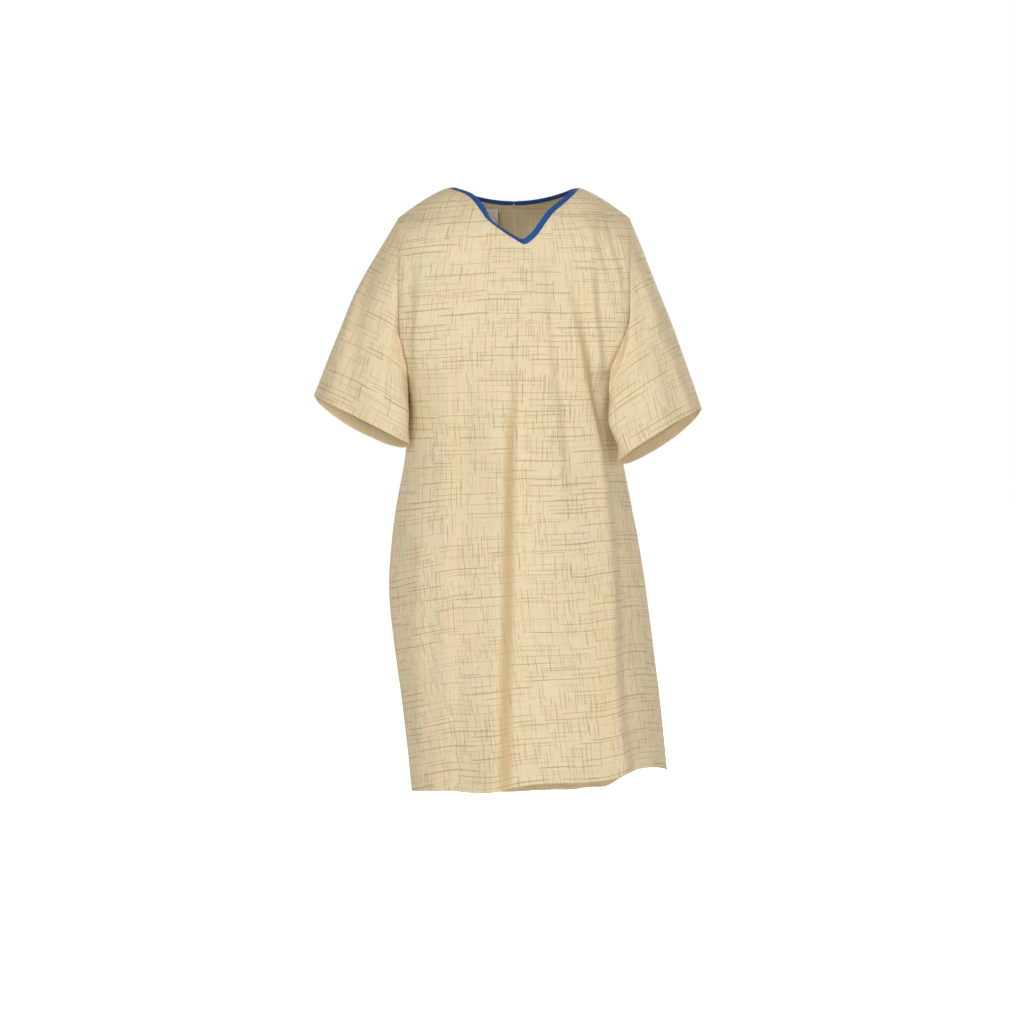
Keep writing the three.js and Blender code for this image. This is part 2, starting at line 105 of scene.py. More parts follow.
def soft_light(name, place, size, power):
    """A square area light of that size and power, aimed at the gown and hidden from the camera."""
    data = bpy.data.lights.new(name, "AREA")
    data.size = size
    data.energy = power
    light = bpy.data.objects.new(name, data)
    bpy.context.scene.collection.objects.link(light)
    light.location = place
    light.visible_camera = False
    light.rotation_mode = "QUATERNION"
    light.rotation_quaternion = look_at(Vector(place), AIM)


for name, (place, size, power) in LIGHTS.items():
    soft_light(name, place, size, power)

bpy.context.scene.view_settings.view_transform = "Standard"
print(len(LIGHTS), "soft lights")

# %% [markdown]
# ## Shader arithmetic
# A printed cloth is a long sum of small decisions: is this point on a line, how strong is the line,
# which ink is it. Written as nodes by hand that is unreadable, so one small class lets a socket
# take part in ordinary Python arithmetic, and one method adds any other node.

# %% Signals and recipes
class Signal:
    """A number or colour coming out of a node. Arithmetic on it adds a Math node."""

    def __init__(self, recipe, socket):
        self.recipe = recipe
        self.socket = socket

    def math(self, operation, *others, clamp=False):
        """A Math node of any operation, with this signal first."""
        settings = {"operation": operation, "use_clamp": clamp}
        inputs = dict(enumerate((self, *others)))
        return self.recipe.node("ShaderNodeMath", settings, inputs)

    def __add__(self, other):
        return self.math("ADD", other)

    def __sub__(self, other):
        return self.math("SUBTRACT", other)

    def __mul__(self, other):
        return self.math("MULTIPLY", other)

    def __truediv__(self, other):
        return self.math("DIVIDE", other)

    def __rsub__(self, other):
        return self.recipe.node("ShaderNodeMath", {"operation": "SUBTRACT"}, {0: other, 1: self})

    __radd__ = __add__
    __rmul__ = __mul__

    def below(self, limit):
        """1 where the signal is less than limit, 0 elsewhere."""
        return self.math("LESS_THAN", limit)

    def clamped(self):
        """The signal held between 0 and 1."""
        return self.math("ADD", 0.0, clamp=True)


class Recipe:
    """A material being built. Its node method adds any node: settings first, then inputs."""

    def __init__(self, name):
        self.material = bpy.data.materials.new(name)
        self.material.use_nodes = True
        self.tree = self.material.node_tree
        self.tree.nodes.clear()

    def node(self, kind, settings=None, inputs=None, output=0):
        """A node of that kind. Returns the signal from one of its outputs, if it has any."""
        made = self.tree.nodes.new(kind)
        for key, value in (settings or {}).items():
            if key == "stops":
                self.set_stops(made.color_ramp, value)
            else:
                setattr(made, key, value)
        for key, value in (inputs or {}).items():
            if isinstance(value, Signal):
                self.tree.links.new(value.socket, made.inputs[key])
            else:
                made.inputs[key].default_value = value
        return Signal(self, made.outputs[output]) if len(made.outputs) else None

    @staticmethod
    def set_stops(ramp, stops):
        """A ramp's stops, as (place, colour) pairs."""
        while len(ramp.elements) < len(stops):
            ramp.elements.new(1.0)
        for element, (place, colour) in zip(ramp.elements, stops):
            element.position = place
            element.color = colour

    def parts(self, vector):
        """The three numbers of a vector or a colour."""
        first = self.node("ShaderNodeSeparateXYZ", None, {0: vector})
        return [Signal(self, first.socket.node.outputs[i]) for i in range(3)]

    def joined(self, x, y, z):
        """A vector of three numbers."""
        return self.node("ShaderNodeCombineXYZ", None, {0: x, 1: y, 2: z})

    def mix(self, share, first, second, blend="MIX"):
        """One colour over another; share is how much of the second shows."""
        settings = {"data_type": "RGBA", "blend_type": blend}
        return self.node("ShaderNodeMix", settings, {0: share, 6: first, 7: second}, 2)

    def finish(self, **sockets):
        """The surface, with its sockets' values, wired to the output. Returns the material."""
        inputs = {key.replace("_", " "): value for key, value in sockets.items()}
        surface = self.node("ShaderNodeBsdfPrincipled", None, inputs)
        self.node("ShaderNodeOutputMaterial", None, {"Surface": surface})
        return self.material


print("shader arithmetic ready")

# %% [markdown]
# ## Floor and sky
# The floor is a plain pale sheet below the hem, where a wearer would stand. The sky is white to the
# camera, and dimmer as a light, so that the folds keep their shade.

# %% Floor and sky
FLOOR_Z = -1.49
FLOOR_HALF = 14.0
SKY_LIGHT = (0.250, 0.218, 0.172, 1)
FLOOR_GLOW = 0.86


def pale_floor():
    """One large square facing up. Only the camera sees its glow, which meets the sky softly."""
    corners = np.array([(-1, -1), (1, -1), (1, 1), (-1, 1)]) * FLOOR_HALF
    mesh = bpy.data.meshes.new("floor")
    mesh.from_pydata([(x, y, FLOOR_Z) for x, y in corners.tolist()], [], [(0, 1, 2, 3)])
    floor = bpy.data.objects.new("floor", mesh)
    bpy.context.scene.collection.objects.link(floor)
    paint = Recipe("pale_floor")
    seen = paint.node("ShaderNodeLightPath")  # its first output is 1 where the camera looks
    mesh.materials.append(paint.finish(
        Base_Color=(0.93, 0.93, 0.93, 1), Roughness=0.7, Emission_Color=(1, 1, 1, 1),
        Emission_Strength=seen * FLOOR_GLOW))


def pale_sky():
    """White where the camera looks, and the dim warm SKY_LIGHT where light comes from."""
    world = bpy.data.worlds.new("sky")
    world.use_nodes = True
    nodes, links = world.node_tree.nodes, world.node_tree.links
    path = nodes.new("ShaderNodeLightPath")
    colour = nodes.new("ShaderNodeMix")
    colour.data_type = "RGBA"
    colour.inputs[6].default_value = SKY_LIGHT
    colour.inputs[7].default_value = (1, 1, 1, 1)
    links.new(path.outputs["Is Camera Ray"], colour.inputs[0])
    links.new(colour.outputs[2], nodes["Background"].inputs["Color"])
    bpy.context.scene.world = world


pale_floor()
pale_sky()
print(f"floor at {FLOOR_Z} m")

# %% [markdown]
# ## The shape the cloth takes
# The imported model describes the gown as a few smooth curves: how wide the body is at each height,
# how deep it is in front and behind, and where the neckline and the hems run. The cloth here
# follows the same curves, so that it lies where the model's simple shells do. Each curve is given
# by a few stations, and a cubic joins them smoothly.

# %% Smooth curves through stations
def through(stations):
    """A cubic between each two (place, value) stations, with the slope of the line between the
    neighbours at each station, and level beyond both ends. Works on whole arrays."""
    place, value = np.array(stations, float).T
    last = len(place) - 1
    before = np.maximum(np.arange(last + 1) - 1, 0)
    after = np.minimum(np.arange(last + 1) + 1, last)
    slope = (value[after] - value[before]) / (place[after] - place[before])

    def curve(at):
        at = np.clip(at, place[0], place[-1])
        i = np.clip(np.searchsorted(place, at, side="right") - 1, 0, last - 1)
        span = place[i + 1] - place[i]
        t = (at - place[i]) / span
        rise = value[i + 1] - value[i]
        start = slope[i] * span
        end = slope[i + 1] * span
        straight = value[i] + start * t
        return straight + (3 * rise - 2 * start - end) * t**2 + (start + end - 2 * rise) * t**3

    return curve


def blend_in(value, start, end):
    """0 up to start, 1 from end on, and a smooth S between."""
    t = np.clip((value - start) / (end - start), 0, 1)
    return t * t * (3 - 2 * t)


def between(first, last, share):
    """From first at share 0 to last at share 1, in a straight line."""
    return first + (last - first) * share


# Heights are z. The front hem reads the angle round the gown from the front, and the back hem x.
half_width = through([
    (-1.130, 0.242), (-0.900, 0.243), (-0.750, 0.241), (-0.650, 0.230), (-0.580, 0.218),
    (-0.500, 0.203), (-0.430, 0.197), (-0.385, 0.200), (-0.350, 0.208), (-0.200, 0.211),
    (-0.055, 0.214),
])
side_shift = through([
    (-1.130, 0.051), (-1.010, 0.038), (-0.940, 0.030), (-0.880, 0.022), (-0.750, 0.007),
    (-0.600, 0),
])
front_depth = through([
    (-1.130, 0.165), (-0.900, 0.156), (-0.750, 0.150), (-0.580, 0.144), (-0.430, 0.142),
    (-0.350, 0.140), (-0.200, 0.130), (-0.105, 0.115), (0, 0.108),
])
section_power = through([(-0.800, 1.25), (-0.600, 1.15), (-0.330, 0.85)])
neckline_sides = [through([
    (-0.121, 0), (-0.082, -0.017), (-0.064, -0.037), (-0.049, -0.060), (-0.017, -0.085),
    (0.020, -0.108),
]), through([
    (0.020, -0.108), (0.040, -0.091), (0.052, -0.073), (0.068, -0.051), (0.096, -0.026), (0.121, 0),
])]
front_hem_height = through([
    (-90, -1.129), (-50, -1.111), (-25, -1.106), (0, -1.088), (30, -1.085), (45, -1.073),
    (60, -1.072), (90, -1.087),
])
back_hem_height = through([
    (-0.191, -1.129), (-0.116, -1.150), (-0.050, -1.157), (0.034, -1.154), (0.174, -1.147),
    (0.208, -1.128), (0.236, -1.109), (0.293, -1.087),
])
print(f"half the chest {half_width(-0.2):.3f} m, half the hem {half_width(-1.1):.3f} m")

# %% Depth of the cloth
# How far the neck, the armholes and the back opening reach, and where they stand.
NECK_HALF = 0.121
ARMHOLE_HALF = 0.214
SHOULDER_DROP = 0.055
SHOULDER_ROUND = 0.100
UNDERARM_Z = -0.350
ARMHOLE_MIDDLE = (UNDERARM_Z - SHOULDER_DROP) / 2
ARMHOLE_RISE = (-SHOULDER_DROP - UNDERARM_Z) / 2
ARMHOLE_DEPTH = 0.085
V_POINT_X = 0.020
BACK_NECK_Z = -0.025
BACK_HEM_Z = -1.140
BACK_DEPTH_TOP_Z = -0.100
BACK_DEPTH = (0.116, 0.145)
SWING_HALF = (0.010, 0.150)
OPENING_DRIFT = 0.034


def front_neckline(x):
    """Two curves that meet in the point of the V."""
    return np.where(x < V_POINT_X, neckline_sides[0](x), neckline_sides[1](x))


def shoulder_height(x):
    """Level at the neck, then falling to the armhole a little faster than a straight line."""
    out = np.clip((np.abs(x) - NECK_HALF) / (ARMHOLE_HALF - NECK_HALF), 0, 1)
    return -SHOULDER_DROP * out**1.3


def armhole_half_depth(z):
    """The armhole is an ellipse seen from the side: this is its half-depth at each height."""
    up = (z - ARMHOLE_MIDDLE) / ARMHOLE_RISE
    return ARMHOLE_DEPTH * np.sqrt(np.clip(1 - up**2, 0, 1))


def shoulder_roll(x, z):
    """A quarter circle from 0 at the shoulder line to 1 at SHOULDER_ROUND below it."""
    below = np.clip((shoulder_height(x) - z) / SHOULDER_ROUND, 0, 1)
    return np.sqrt(1 - (1 - below) ** 2)


def cloth_depth(full, facing, x, z):
    """Depth from the side plane: the armhole's at the edge, the full depth where facing is 1."""
    edge = np.where(z > UNDERARM_Z, armhole_half_depth(z), 0)
    return edge + (full * shoulder_roll(x, z) - edge) * np.clip(facing, 0, 1) ** section_power(z)


def back_depth(z):
    """The gown hangs a little further back at the hem than at the shoulder blades."""
    return between(*BACK_DEPTH, (z - BACK_DEPTH_TOP_Z) / (BACK_HEM_Z - BACK_DEPTH_TOP_Z))


def back_centre(z):
    """The back opening drifts towards the wearer's left on its way down."""
    return OPENING_DRIFT * (z - BACK_NECK_Z) / (BACK_HEM_Z - BACK_NECK_Z)


def swing_half(z):
    """Centre of the back to the line that each half of the opening swings on."""
    return between(*SWING_HALF, (z - BACK_NECK_Z) / (BACK_HEM_Z - BACK_NECK_Z))


print(f"back depth {back_depth(-0.5):.3f} m, swing line {swing_half(-0.5):.3f} m from the centre")

# %% [markdown]
# ## Grids of cloth
# Each panel is a grid: columns run down the cloth along the grain and rows run across it. The front
# and the back share the places of their rows along the armhole and down the side seam, so the
# panels meet point for point. Rows bunch where the armhole turns, which a cosine spacing gives for
# nothing: the same spacing goes round the sleeve as equal angles.

# %% Rows, columns, normals
UPPER_STEPS = 36
LOWER_STEPS = 64
upper_share = (1 - np.cos(np.linspace(0, math.pi, UPPER_STEPS + 1))) / 2
lower_share = np.linspace(0, 1, LOWER_STEPS + 1)[1:]
UNDERARM_ROW = UPPER_STEPS


def column_heights(top, hem):
    """Heights down each column: from its top to the underarm level, then on to its hem."""
    upper = top + (UNDERARM_Z - top) * upper_share[:, None]
    lower = UNDERARM_Z + (hem - UNDERARM_Z) * lower_share[:, None]
    return np.vstack([upper, lower])


GOWN_MIDDLE = np.array((0.0, 0.0, -0.5))


def inside_of(points, ring):
    """A place that the cloth surrounds: the middle of each row of a tube, or of the whole gown."""
    return points.mean(axis=1, keepdims=True) if ring else GOWN_MIDDLE


def normals_of(points, ring=False):
    """Unit normals: the slope down the grid crossed with the slope across it, turned so that most
    of them point away from the inside."""
    across = np.roll(points, -1, 1) - np.roll(points, 1, 1) if ring else np.gradient(points, axis=1)
    normals = np.cross(np.gradient(points, axis=0), across)
    normals /= np.maximum(np.linalg.norm(normals, axis=2, keepdims=True), 1e-12)
    facing = np.sum(normals * (points - inside_of(points, ring)))
    return normals if facing > 0 else -normals


def steps_along(points, axis):
    """Distance gone along each row (axis 1) or column (axis 0), from the first point."""
    lengths = np.linalg.norm(np.diff(points, axis=axis), axis=2)
    start = np.zeros_like(np.take(lengths, [0], axis=axis))
    return np.cumsum(np.concatenate([start, lengths], axis=axis), axis=axis)


def closed_round(points):
    """A tube's grid, with its first column once more at the end."""
    return np.concatenate([points, points[:, :1]], axis=1)


def plain_uv(points, ring=False):
    """Distance along each row, and distance down each column counted below zero."""
    points = closed_round(points) if ring else points
    return np.stack([steps_along(points, 1), -steps_along(points, 0)], axis=2)


SHOULDER_COLUMNS = 27
COLUMNS_TO_V = (20, 15)
neck_angle = math.degrees(math.asin(NECK_HALF / ARMHOLE_HALF))
v_angle = math.degrees(math.asin(V_POINT_X / ARMHOLE_HALF))
shoulder_angles = np.linspace(neck_angle, 90, SHOULDER_COLUMNS)
front_angles = np.concatenate([
    -shoulder_angles[::-1], np.linspace(-neck_angle, v_angle, COLUMNS_TO_V[0])[1:],
    np.linspace(v_angle, neck_angle, COLUMNS_TO_V[1])[1:], shoulder_angles[1:],
])
NECK_COLUMNS = (SHOULDER_COLUMNS - 1, len(front_angles) - SHOULDER_COLUMNS)
V_COLUMN = NECK_COLUMNS[0] + COLUMNS_TO_V[0] - 1
print(len(front_angles), "columns and", UPPER_STEPS + LOWER_STEPS + 1, "rows in the front")

# %% [markdown]
# ## Folds
# Light cotton hung from the shoulders falls in long soft folds. Most are steps: the cloth comes
# forward to a ridge, drops back steeply over a couple of centimetres, and then comes forward again
# slowly. A cloth simulation would find folds of its own, but not these ones in these places, so
# each one is a function across the cloth: its line down the gown, its height along that line, how
# steep the drop is and how far it takes to recover on each side.

# %% Fold functions
def step_fold(across, down, line, height, steep, runs):
    """Height times an S-curve across the line, fading away on each side over its own run."""
    gap = across - through(line)(down)
    run = np.where(gap < 0, runs[0], runs[1])
    return -through(height)(down) * np.tanh(gap / steep) * np.exp(-np.abs(gap) / run)


def ridge_fold(across, down, line, height, width):
    """A bell curve across the line."""
    gap = across - through(line)(down)
    return through(height)(down) * np.exp(-((gap / width) ** 2))


def ripples(across, down, wavelength, height, seed, count=7):
    """A sum of sine waves of random directions and phases, none far from the given wavelength."""
    draw = np.random.default_rng(seed)
    angles = draw.uniform(-math.pi, math.pi, count)
    waves = 2 * math.pi / (wavelength * draw.uniform(0.7, 1.6, count))
    phases = draw.uniform(0, 2 * math.pi, count)
    total = np.zeros_like(across)
    for angle, wave, phase in zip(angles, waves, phases):
        total += np.sin(wave * (across * math.cos(angle) + down * math.sin(angle)) + phase)
    return height * total / math.sqrt(count)


# A step: its line as (z, x), its height as (z, metres), how steep it is, and its runs each side.
FRONT_STEPS = {
    "centre": ([(-1.13, -0.019), (-0.92, -0.016), (-0.67, -0.012), (-0.46, -0.007), (-0.38, 0),
                (-0.19, -0.003)],
               [(-1.13, 0.017), (-0.9, 0.019), (-0.6, 0.017), (-0.45, 0.013), (-0.3, 0.006),
                (-0.15, 0.001)], 0.010, (0.038, 0.120)),
    "right_chest": ([(-1.05, -0.115), (-0.7, -0.112), (-0.42, -0.106), (-0.25, -0.104)],
                    [(-1.1, 0.005), (-0.7, 0.007), (-0.5, 0.007), (-0.35, 0.008), (-0.22, 0.001)],
                    0.009, (0.05, 0.04)),
    "left_chest": ([(-0.53, 0.096), (-0.42, 0.084), (-0.33, 0.071), (-0.17, 0.056)],
                   [(-0.6, 0), (-0.5, 0.007), (-0.35, 0.010), (-0.2, 0.007), (-0.12, 0)],
                   0.012, (0.03, 0.04)),
    "left_drag": ([(-0.56, 0.176), (-0.456, 0.160), (-0.356, 0.138), (-0.281, 0.124),
                   (-0.20, 0.103)],
                  [(-0.66, 0), (-0.52, 0.011), (-0.40, 0.016), (-0.30, 0.015), (-0.20, 0.008),
                   (-0.14, 0)], 0.010, (0.05, 0.03)),
    "left_armhole": ([(-0.33, 0.166), (-0.275, 0.160), (-0.219, 0.151), (-0.156, 0.147)],
                     [(-0.40, 0), (-0.33, 0.008), (-0.2, 0.010), (-0.13, 0.004), (-0.08, 0)],
                     0.008, (0.03, 0.02)),
    "right_armhole": ([(-0.40, -0.182), (-0.30, -0.186), (-0.15, -0.180)],
                      [(-0.48, 0), (-0.38, -0.005), (-0.2, -0.006), (-0.10, 0)],
                      0.009, (0.02, 0.03)),
    "right_pucker": ([(-1.13, -0.136), (-1.0, -0.128)],
                     [(-1.13, 0.008), (-1.06, 0.006), (-0.98, 0)], 0.006, (0.012, 0.03)),
    "shoulder_drag": ([(-0.20, 0.180), (-0.06, 0.138)],
                      [(-0.24, 0), (-0.18, 0.005), (-0.10, 0.004), (-0.05, 0)],
                      0.005, (0.012, 0.012)),
    "shoulder_drag_outer": ([(-0.17, 0.196), (-0.05, 0.160)],
                            [(-0.22, 0), (-0.16, 0.005), (-0.09, 0.004), (-0.05, 0)],
                            0.005, (0.010, 0.010)),
}
# A ridge: its line, its height, and its width.
FRONT_RIDGES = {
    "left_flare": ([(-1.056, 0.198), (-0.92, 0.180), (-0.76, 0.177), (-0.6, 0.170)],
                   [(-1.12, 0.013), (-0.8, 0.013), (-0.62, 0.008), (-0.5, 0.003), (-0.42, 0)],
                   0.017),
    "right_flare": ([(-1.1, -0.168), (-0.8, -0.170), (-0.6, -0.160)],
                    [(-1.12, 0.006), (-0.8, 0.006), (-0.6, 0.003), (-0.5, 0)], 0.022),
}


def folded(points, rise, ring=False):
    """The cloth pushed out by rise along its normals, and how far each place has turned by that:
    one less the cosine between the normals before and after."""
    before = normals_of(points, ring)
    moved = points + before * rise[:, :, None]
    return moved, 1 - np.abs(np.sum(before * normals_of(moved, ring), axis=2))


DOWN_SHARE = 0.35


def front_folds(x, z):
    """All the front's folds, over the slow unevenness of hanging cloth, which is longer down the
    cloth than across it."""
    total = ripples(x, z * DOWN_SHARE, 0.085, 0.0011, 11) + ripples(x, z, 0.05, 0.0004, 12)
    for fold in FRONT_STEPS.values():
        total = total + step_fold(x, z, *fold)
    for fold in FRONT_RIDGES.values():
        total = total + ridge_fold(x, z, *fold)
    return total


print(len(FRONT_STEPS) + len(FRONT_RIDGES), "folds in the front")

# %% [markdown]
# ## The front
# The front is cut in one piece from shoulder to hem. At the sides and the shoulders it is sewn to
# the backs, so the folds die out towards those edges, and run free at the hem. The print follows
# the cloth: its columns count the distance along the folded surface, and its rows stay level with
# the hem, as they do on cloth cut straight.

# %% Front surface
EDGE_SLACK = 1e-5
FRONT_FADE = {"below_top": 0.07, "degrees_from_side": 14}
CHEST_SLOPE = 0.07
HIP_SLOPE = 0.22


def front_surface():
    """x is a sine across the front, y the cloth's depth, z runs down each column."""
    x_top = ARMHOLE_HALF * np.sin(np.radians(front_angles))
    at_neck = np.abs(x_top) <= NECK_HALF + EDGE_SLACK
    top = np.where(at_neck, front_neckline(x_top), shoulder_height(x_top))
    z = column_heights(top, front_hem_height(front_angles))
    angle = np.radians(front_angles)[None, :]
    x = side_shift(z) + half_width(z) * np.sin(angle)
    y = -cloth_depth(front_depth(z), np.cos(angle), x, z)
    points = np.stack([x, y, z], axis=2)
    below_top = blend_in(top[None, :] - z, 0.0, FRONT_FADE["below_top"])
    from_side = blend_in(90 - np.abs(front_angles), 0, FRONT_FADE["degrees_from_side"])[None, :]
    return folded(points, front_folds(x, z) * below_top * from_side)


def print_rows(z, x, hem):
    """Height on the cloth before it was hung: level with the hem below the underarm. The right side
    hangs askew, so its rows slope, a little at the chest and more below the hip."""
    lower = UNDERARM_Z + (z - UNDERARM_Z) * (BACK_HEM_Z - UNDERARM_Z) / (hem - UNDERARM_Z)
    chest = CHEST_SLOPE * np.clip(-x - 0.03, 0, 1) * blend_in(z, -0.5, -0.2)
    hip = HIP_SLOPE * np.clip(-x - 0.11, 0, 1) * blend_in(-z, 0.45, 0.7)
    return np.where(z > UNDERARM_Z, z, lower) + chest + hip


front_points, front_turned = front_surface()
front_normals = normals_of(front_points)
front_across = steps_along(front_points, 1)
front_across = front_across - front_across[:, [V_COLUMN]]
front_rows = print_rows(front_points[:, :, 2], front_points[:, :, 0], front_points[-1:, :, 2])
front_uv = np.stack([front_across, front_rows], axis=2)
print(f"front hem {front_across[-1, -1] - front_across[-1, 0]:.3f} m round")

# %% [markdown]
# ## From a grid to a piece of cloth
# Cloth has two faces and a thickness. The grid gives the outer face; one round of subdivision
# smooths it, and Solidify adds the inner face under it with the edge between. The inner face takes
# the second material, because a print is paler on its wrong side. That material's cream is also
# painted lighter, as painted light standing in for light coming through the cloth.

# %% Mesh from a grid
def new_piece(name, points, faces):
    """An object at the origin with a smooth mesh of these points and faces."""
    mesh = bpy.data.meshes.new(name)
    mesh.from_pydata(points.reshape(-1, 3).tolist(), [], faces.tolist())
    mesh.polygons.foreach_set("use_smooth", np.ones(len(faces), bool))
    mesh.update()
    piece = bpy.data.objects.new(name, mesh)
    bpy.context.scene.collection.objects.link(piece)
    return piece


def grid_object(name, points, uv, ring=False, inside=None):
    """One mesh of four-sided faces over the grid, wound so that they face away from the inside: the
    cross product of each face's diagonals, added up against the way out from there."""
    inside = inside_of(points, ring) if inside is None else np.array(inside)
    rows, columns = points.shape[:2]
    spans = columns if ring else columns - 1
    r, c = np.mgrid[0:rows - 1, 0:spans]
    corners = [(r, c), (r, c + 1), (r + 1, c + 1), (r + 1, c)]
    faces = np.stack([row * columns + column % columns for row, column in corners], axis=-1)
    loops = np.stack([uv[row, column] for row, column in corners], axis=-2)
    faces, loops = faces.reshape(-1, 4), loops.reshape(-1, 4, 2)
    first = points.reshape(-1, 3)[faces]
    crossed = np.cross(first[:, 2] - first[:, 0], first[:, 3] - first[:, 1])
    outward = np.sum(crossed * (first.mean(axis=1) - np.broadcast_to(
        inside, points.shape).reshape(-1, 3)[faces[:, 0]]))
    if outward < 0:
        faces, loops = faces[:, ::-1], loops[:, ::-1]
    piece = new_piece(name, points, faces)
    layer = piece.data.uv_layers.new(name="cloth")
    layer.data.foreach_set("uv", np.ascontiguousarray(loops, np.float32).ravel())
    return piece


# %% Cloth from a mesh
CLOTH_THICK = 0.0008
STRIP_THICK = CLOTH_THICK * 0.8


def smooth_piece(piece):
    """One round of subdivision, which keeps the corners of an open edge."""
    subdivision = piece.modifiers.new("smooth", "SUBSURF")
    subdivision.levels = 1
    subdivision.render_levels = 1
    subdivision.boundary_smooth = "PRESERVE_CORNERS"
    return piece


def as_cloth(piece, thick=CLOTH_THICK):
    """Smooths a grid and gives it its inner face."""
    smooth_piece(piece)
    wall = piece.modifiers.new("thickness", "SOLIDIFY")
    wall.thickness = thick
    wall.offset = -1
    wall.material_offset = 1
    wall.material_offset_rim = 0
    shading = piece.modifiers.new("shading", "WEIGHTED_NORMAL")
    shading.weight = 100
    return piece


def mark_points(piece, name, values):
    """Keeps one number at every point of a grid, under a name."""
    layer = piece.data.attributes.new(name, "FLOAT", "POINT")
    layer.data.foreach_set("value", np.ascontiguousarray(values, np.float32).ravel())


def panel(name, points, uv, turned, ring=False):
    """A grid that remembers how far its folds turned it, for the finish to paint shade on the
    folds' steep sides, and that holds its outer points still when it is smoothed, so that panels
    sewn together stay shut."""
    piece = grid_object(name, points, uv, ring)
    held = np.zeros(turned.shape)
    held[[0, -1]] = 1
    if not ring:
        held[:, [0, -1]] = 1
    mark_points(piece, "turned", turned)
    mark_points(piece, "crease_vert", held)
    return as_cloth(piece)


cloth = {}
cloth["front"] = panel("front_cloth", front_points, front_uv, front_turned)
print("front:", len(cloth["front"].data.polygons), "faces before smoothing")

# %% [markdown]
# ## The backs
# Each back is one piece from the side seam to the opening. Its neckline dips a little, its hem
# falls lower than the front's, and folds start below the shoulder blades. The part near the opening
# swings, so folds there stay shallow. The left edge lies over the right one, more so towards the
# hem.

# %% Back surfaces
# The opening's edge: how far it stands out from the centre at its top and, on each side, at the
# hem, and how far it is lifted off the wearer.
BACK_EDGE_TOP = 0.0001
BACK_EDGE_HEM = {1: -0.0080, -1: 0.0002}
BACK_EDGE_LIFT = {1: 0.0045, -1: 0.0002}
BACK_PRINT_START = {"left": 1.3, "right": 0.5}
NECK_STEPS = 18
SWING_TOP_Z = -0.075
BACK_RIDGES = [
    ([(-1.14, 0.120), (-0.4, 0.085)],
     [(-1.14, 0.015), (-0.7, 0.013), (-0.4, 0.007), (-0.25, 0)], 0.024),
    ([(-1.14, 0.205), (-0.5, 0.150)],
     [(-1.14, 0.016), (-0.7, 0.014), (-0.45, 0.006), (-0.3, 0)], 0.022),
    ([(-0.42, 0.165), (-0.12, 0.120)],
     [(-0.5, 0), (-0.35, 0.008), (-0.2, 0.007), (-0.1, 0)], 0.013),
    ([(-1.14, 0.055), (-0.5, 0.035)], [(-1.14, 0.006), (-0.8, 0.004), (-0.4, 0)], 0.020),
]


def back_surface(side):
    """x is a sine from the opening to the side seam, y the cloth's depth, z runs down a column."""
    neck_x = np.linspace(BACK_EDGE_TOP, NECK_HALF, NECK_STEPS + 1)
    shoulder_x = ARMHOLE_HALF * np.sin(np.radians(shoulder_angles))
    top_x = np.concatenate([neck_x, shoulder_x[1:]])
    share = (top_x - top_x[0]) / (top_x[-1] - top_x[0])
    neck = BACK_NECK_Z * (1 - (top_x / NECK_HALF) ** 2)
    top = np.where(top_x <= NECK_HALF + EDGE_SLACK, neck, shoulder_height(top_x))

    def place(z):
        """x and y at a height, for every column."""
        edge_half = np.interp(z, [BACK_HEM_Z, SWING_TOP_Z], [BACK_EDGE_HEM[side], BACK_EDGE_TOP])
        edge = back_centre(z) + side * edge_half
        line = back_centre(z) + side * swing_half(z)
        seam = side_shift(z) + side * half_width(z)
        x = edge + (seam - edge) * share
        out = np.clip((x - line) / (seam - line), 0, 1)
        return x, cloth_depth(back_depth(z), np.sqrt(1 - out**2), x, z)

    hem = np.full_like(share, BACK_HEM_Z)
    for _ in range(4):  # the hem's height depends on x, and x on the height: a few rounds settle it
        hem = back_hem_height(place(hem)[0])
    z = column_heights(top, hem)
    x, y = place(z)
    points = np.stack([x, y, z], axis=2)
    rise = ripples(x * side, z * DOWN_SHARE, 0.09, 0.0012, 21 + side)
    for fold in BACK_RIDGES:
        rise = rise + ridge_fold(side * (x - 0.5 * side_shift(z)), z, *fold)
    near_edge = np.exp(-((share / 0.07) ** 2))[None, :]
    rise = between(rise, BACK_EDGE_LIFT[side], near_edge)
    rise = rise * blend_in(top[None, :] - z, 0.0, 0.08) * blend_in(1 - share, 0, 0.12)[None, :]
    return folded(points, rise)


backs = {}
for name, side in SIDES.items():
    points, turned = back_surface(side)
    across = steps_along(points, 1) * side + BACK_PRINT_START[name]
    z = points[:, :, 2]
    uv = np.stack([across, print_rows(z, np.zeros_like(z), z[-1:])], axis=2)
    backs[name] = points
    cloth[name + "_back"] = panel(name + "_back_cloth", points, uv, turned)
    print(f"{name} back {np.ptp(across[-1]):.3f} m round the hem")

# %% [markdown]
# ## The sleeves
# A sleeve is a short wide tube, sewn into the armhole and falling outwards to the cuff. It starts
# from the very points where the front and back end. Its folds are pulled out slantwise from the top
# of the shoulder. Low on its front side it sags inwards and laps over the front of the body.

# %% Sleeve surfaces
CUFFS = {
    "left": {"centre": (0.269, -0.050, -0.456), "outer": (0.080, 0.035, 0.047),
             "front": (0, -0.060, 0.010), "back": (0, 0.060, -0.027), "fullness": 0.003},
    "right": {"centre": (-0.281, -0.050, -0.427), "outer": (-0.090, 0.035, 0.043),
              "front": (0, -0.060, 0.003), "back": (0, 0.060, -0.029), "fullness": 0.009},
}
SLEEVE_STEPS = 34
CUFF_STEPS = 3
CUFF_HEM = 0.020
SLEEVE_PRINT_START = {"left": 2.7, "right": 1.7}
SLEEVE_SAG = {"left": 0.034, "right": 0.014}
SAG_MIDDLE, SAG_SPREAD = 138, 34  # degrees round the sleeve, from its top to its front
LAP_GAP = 0.004
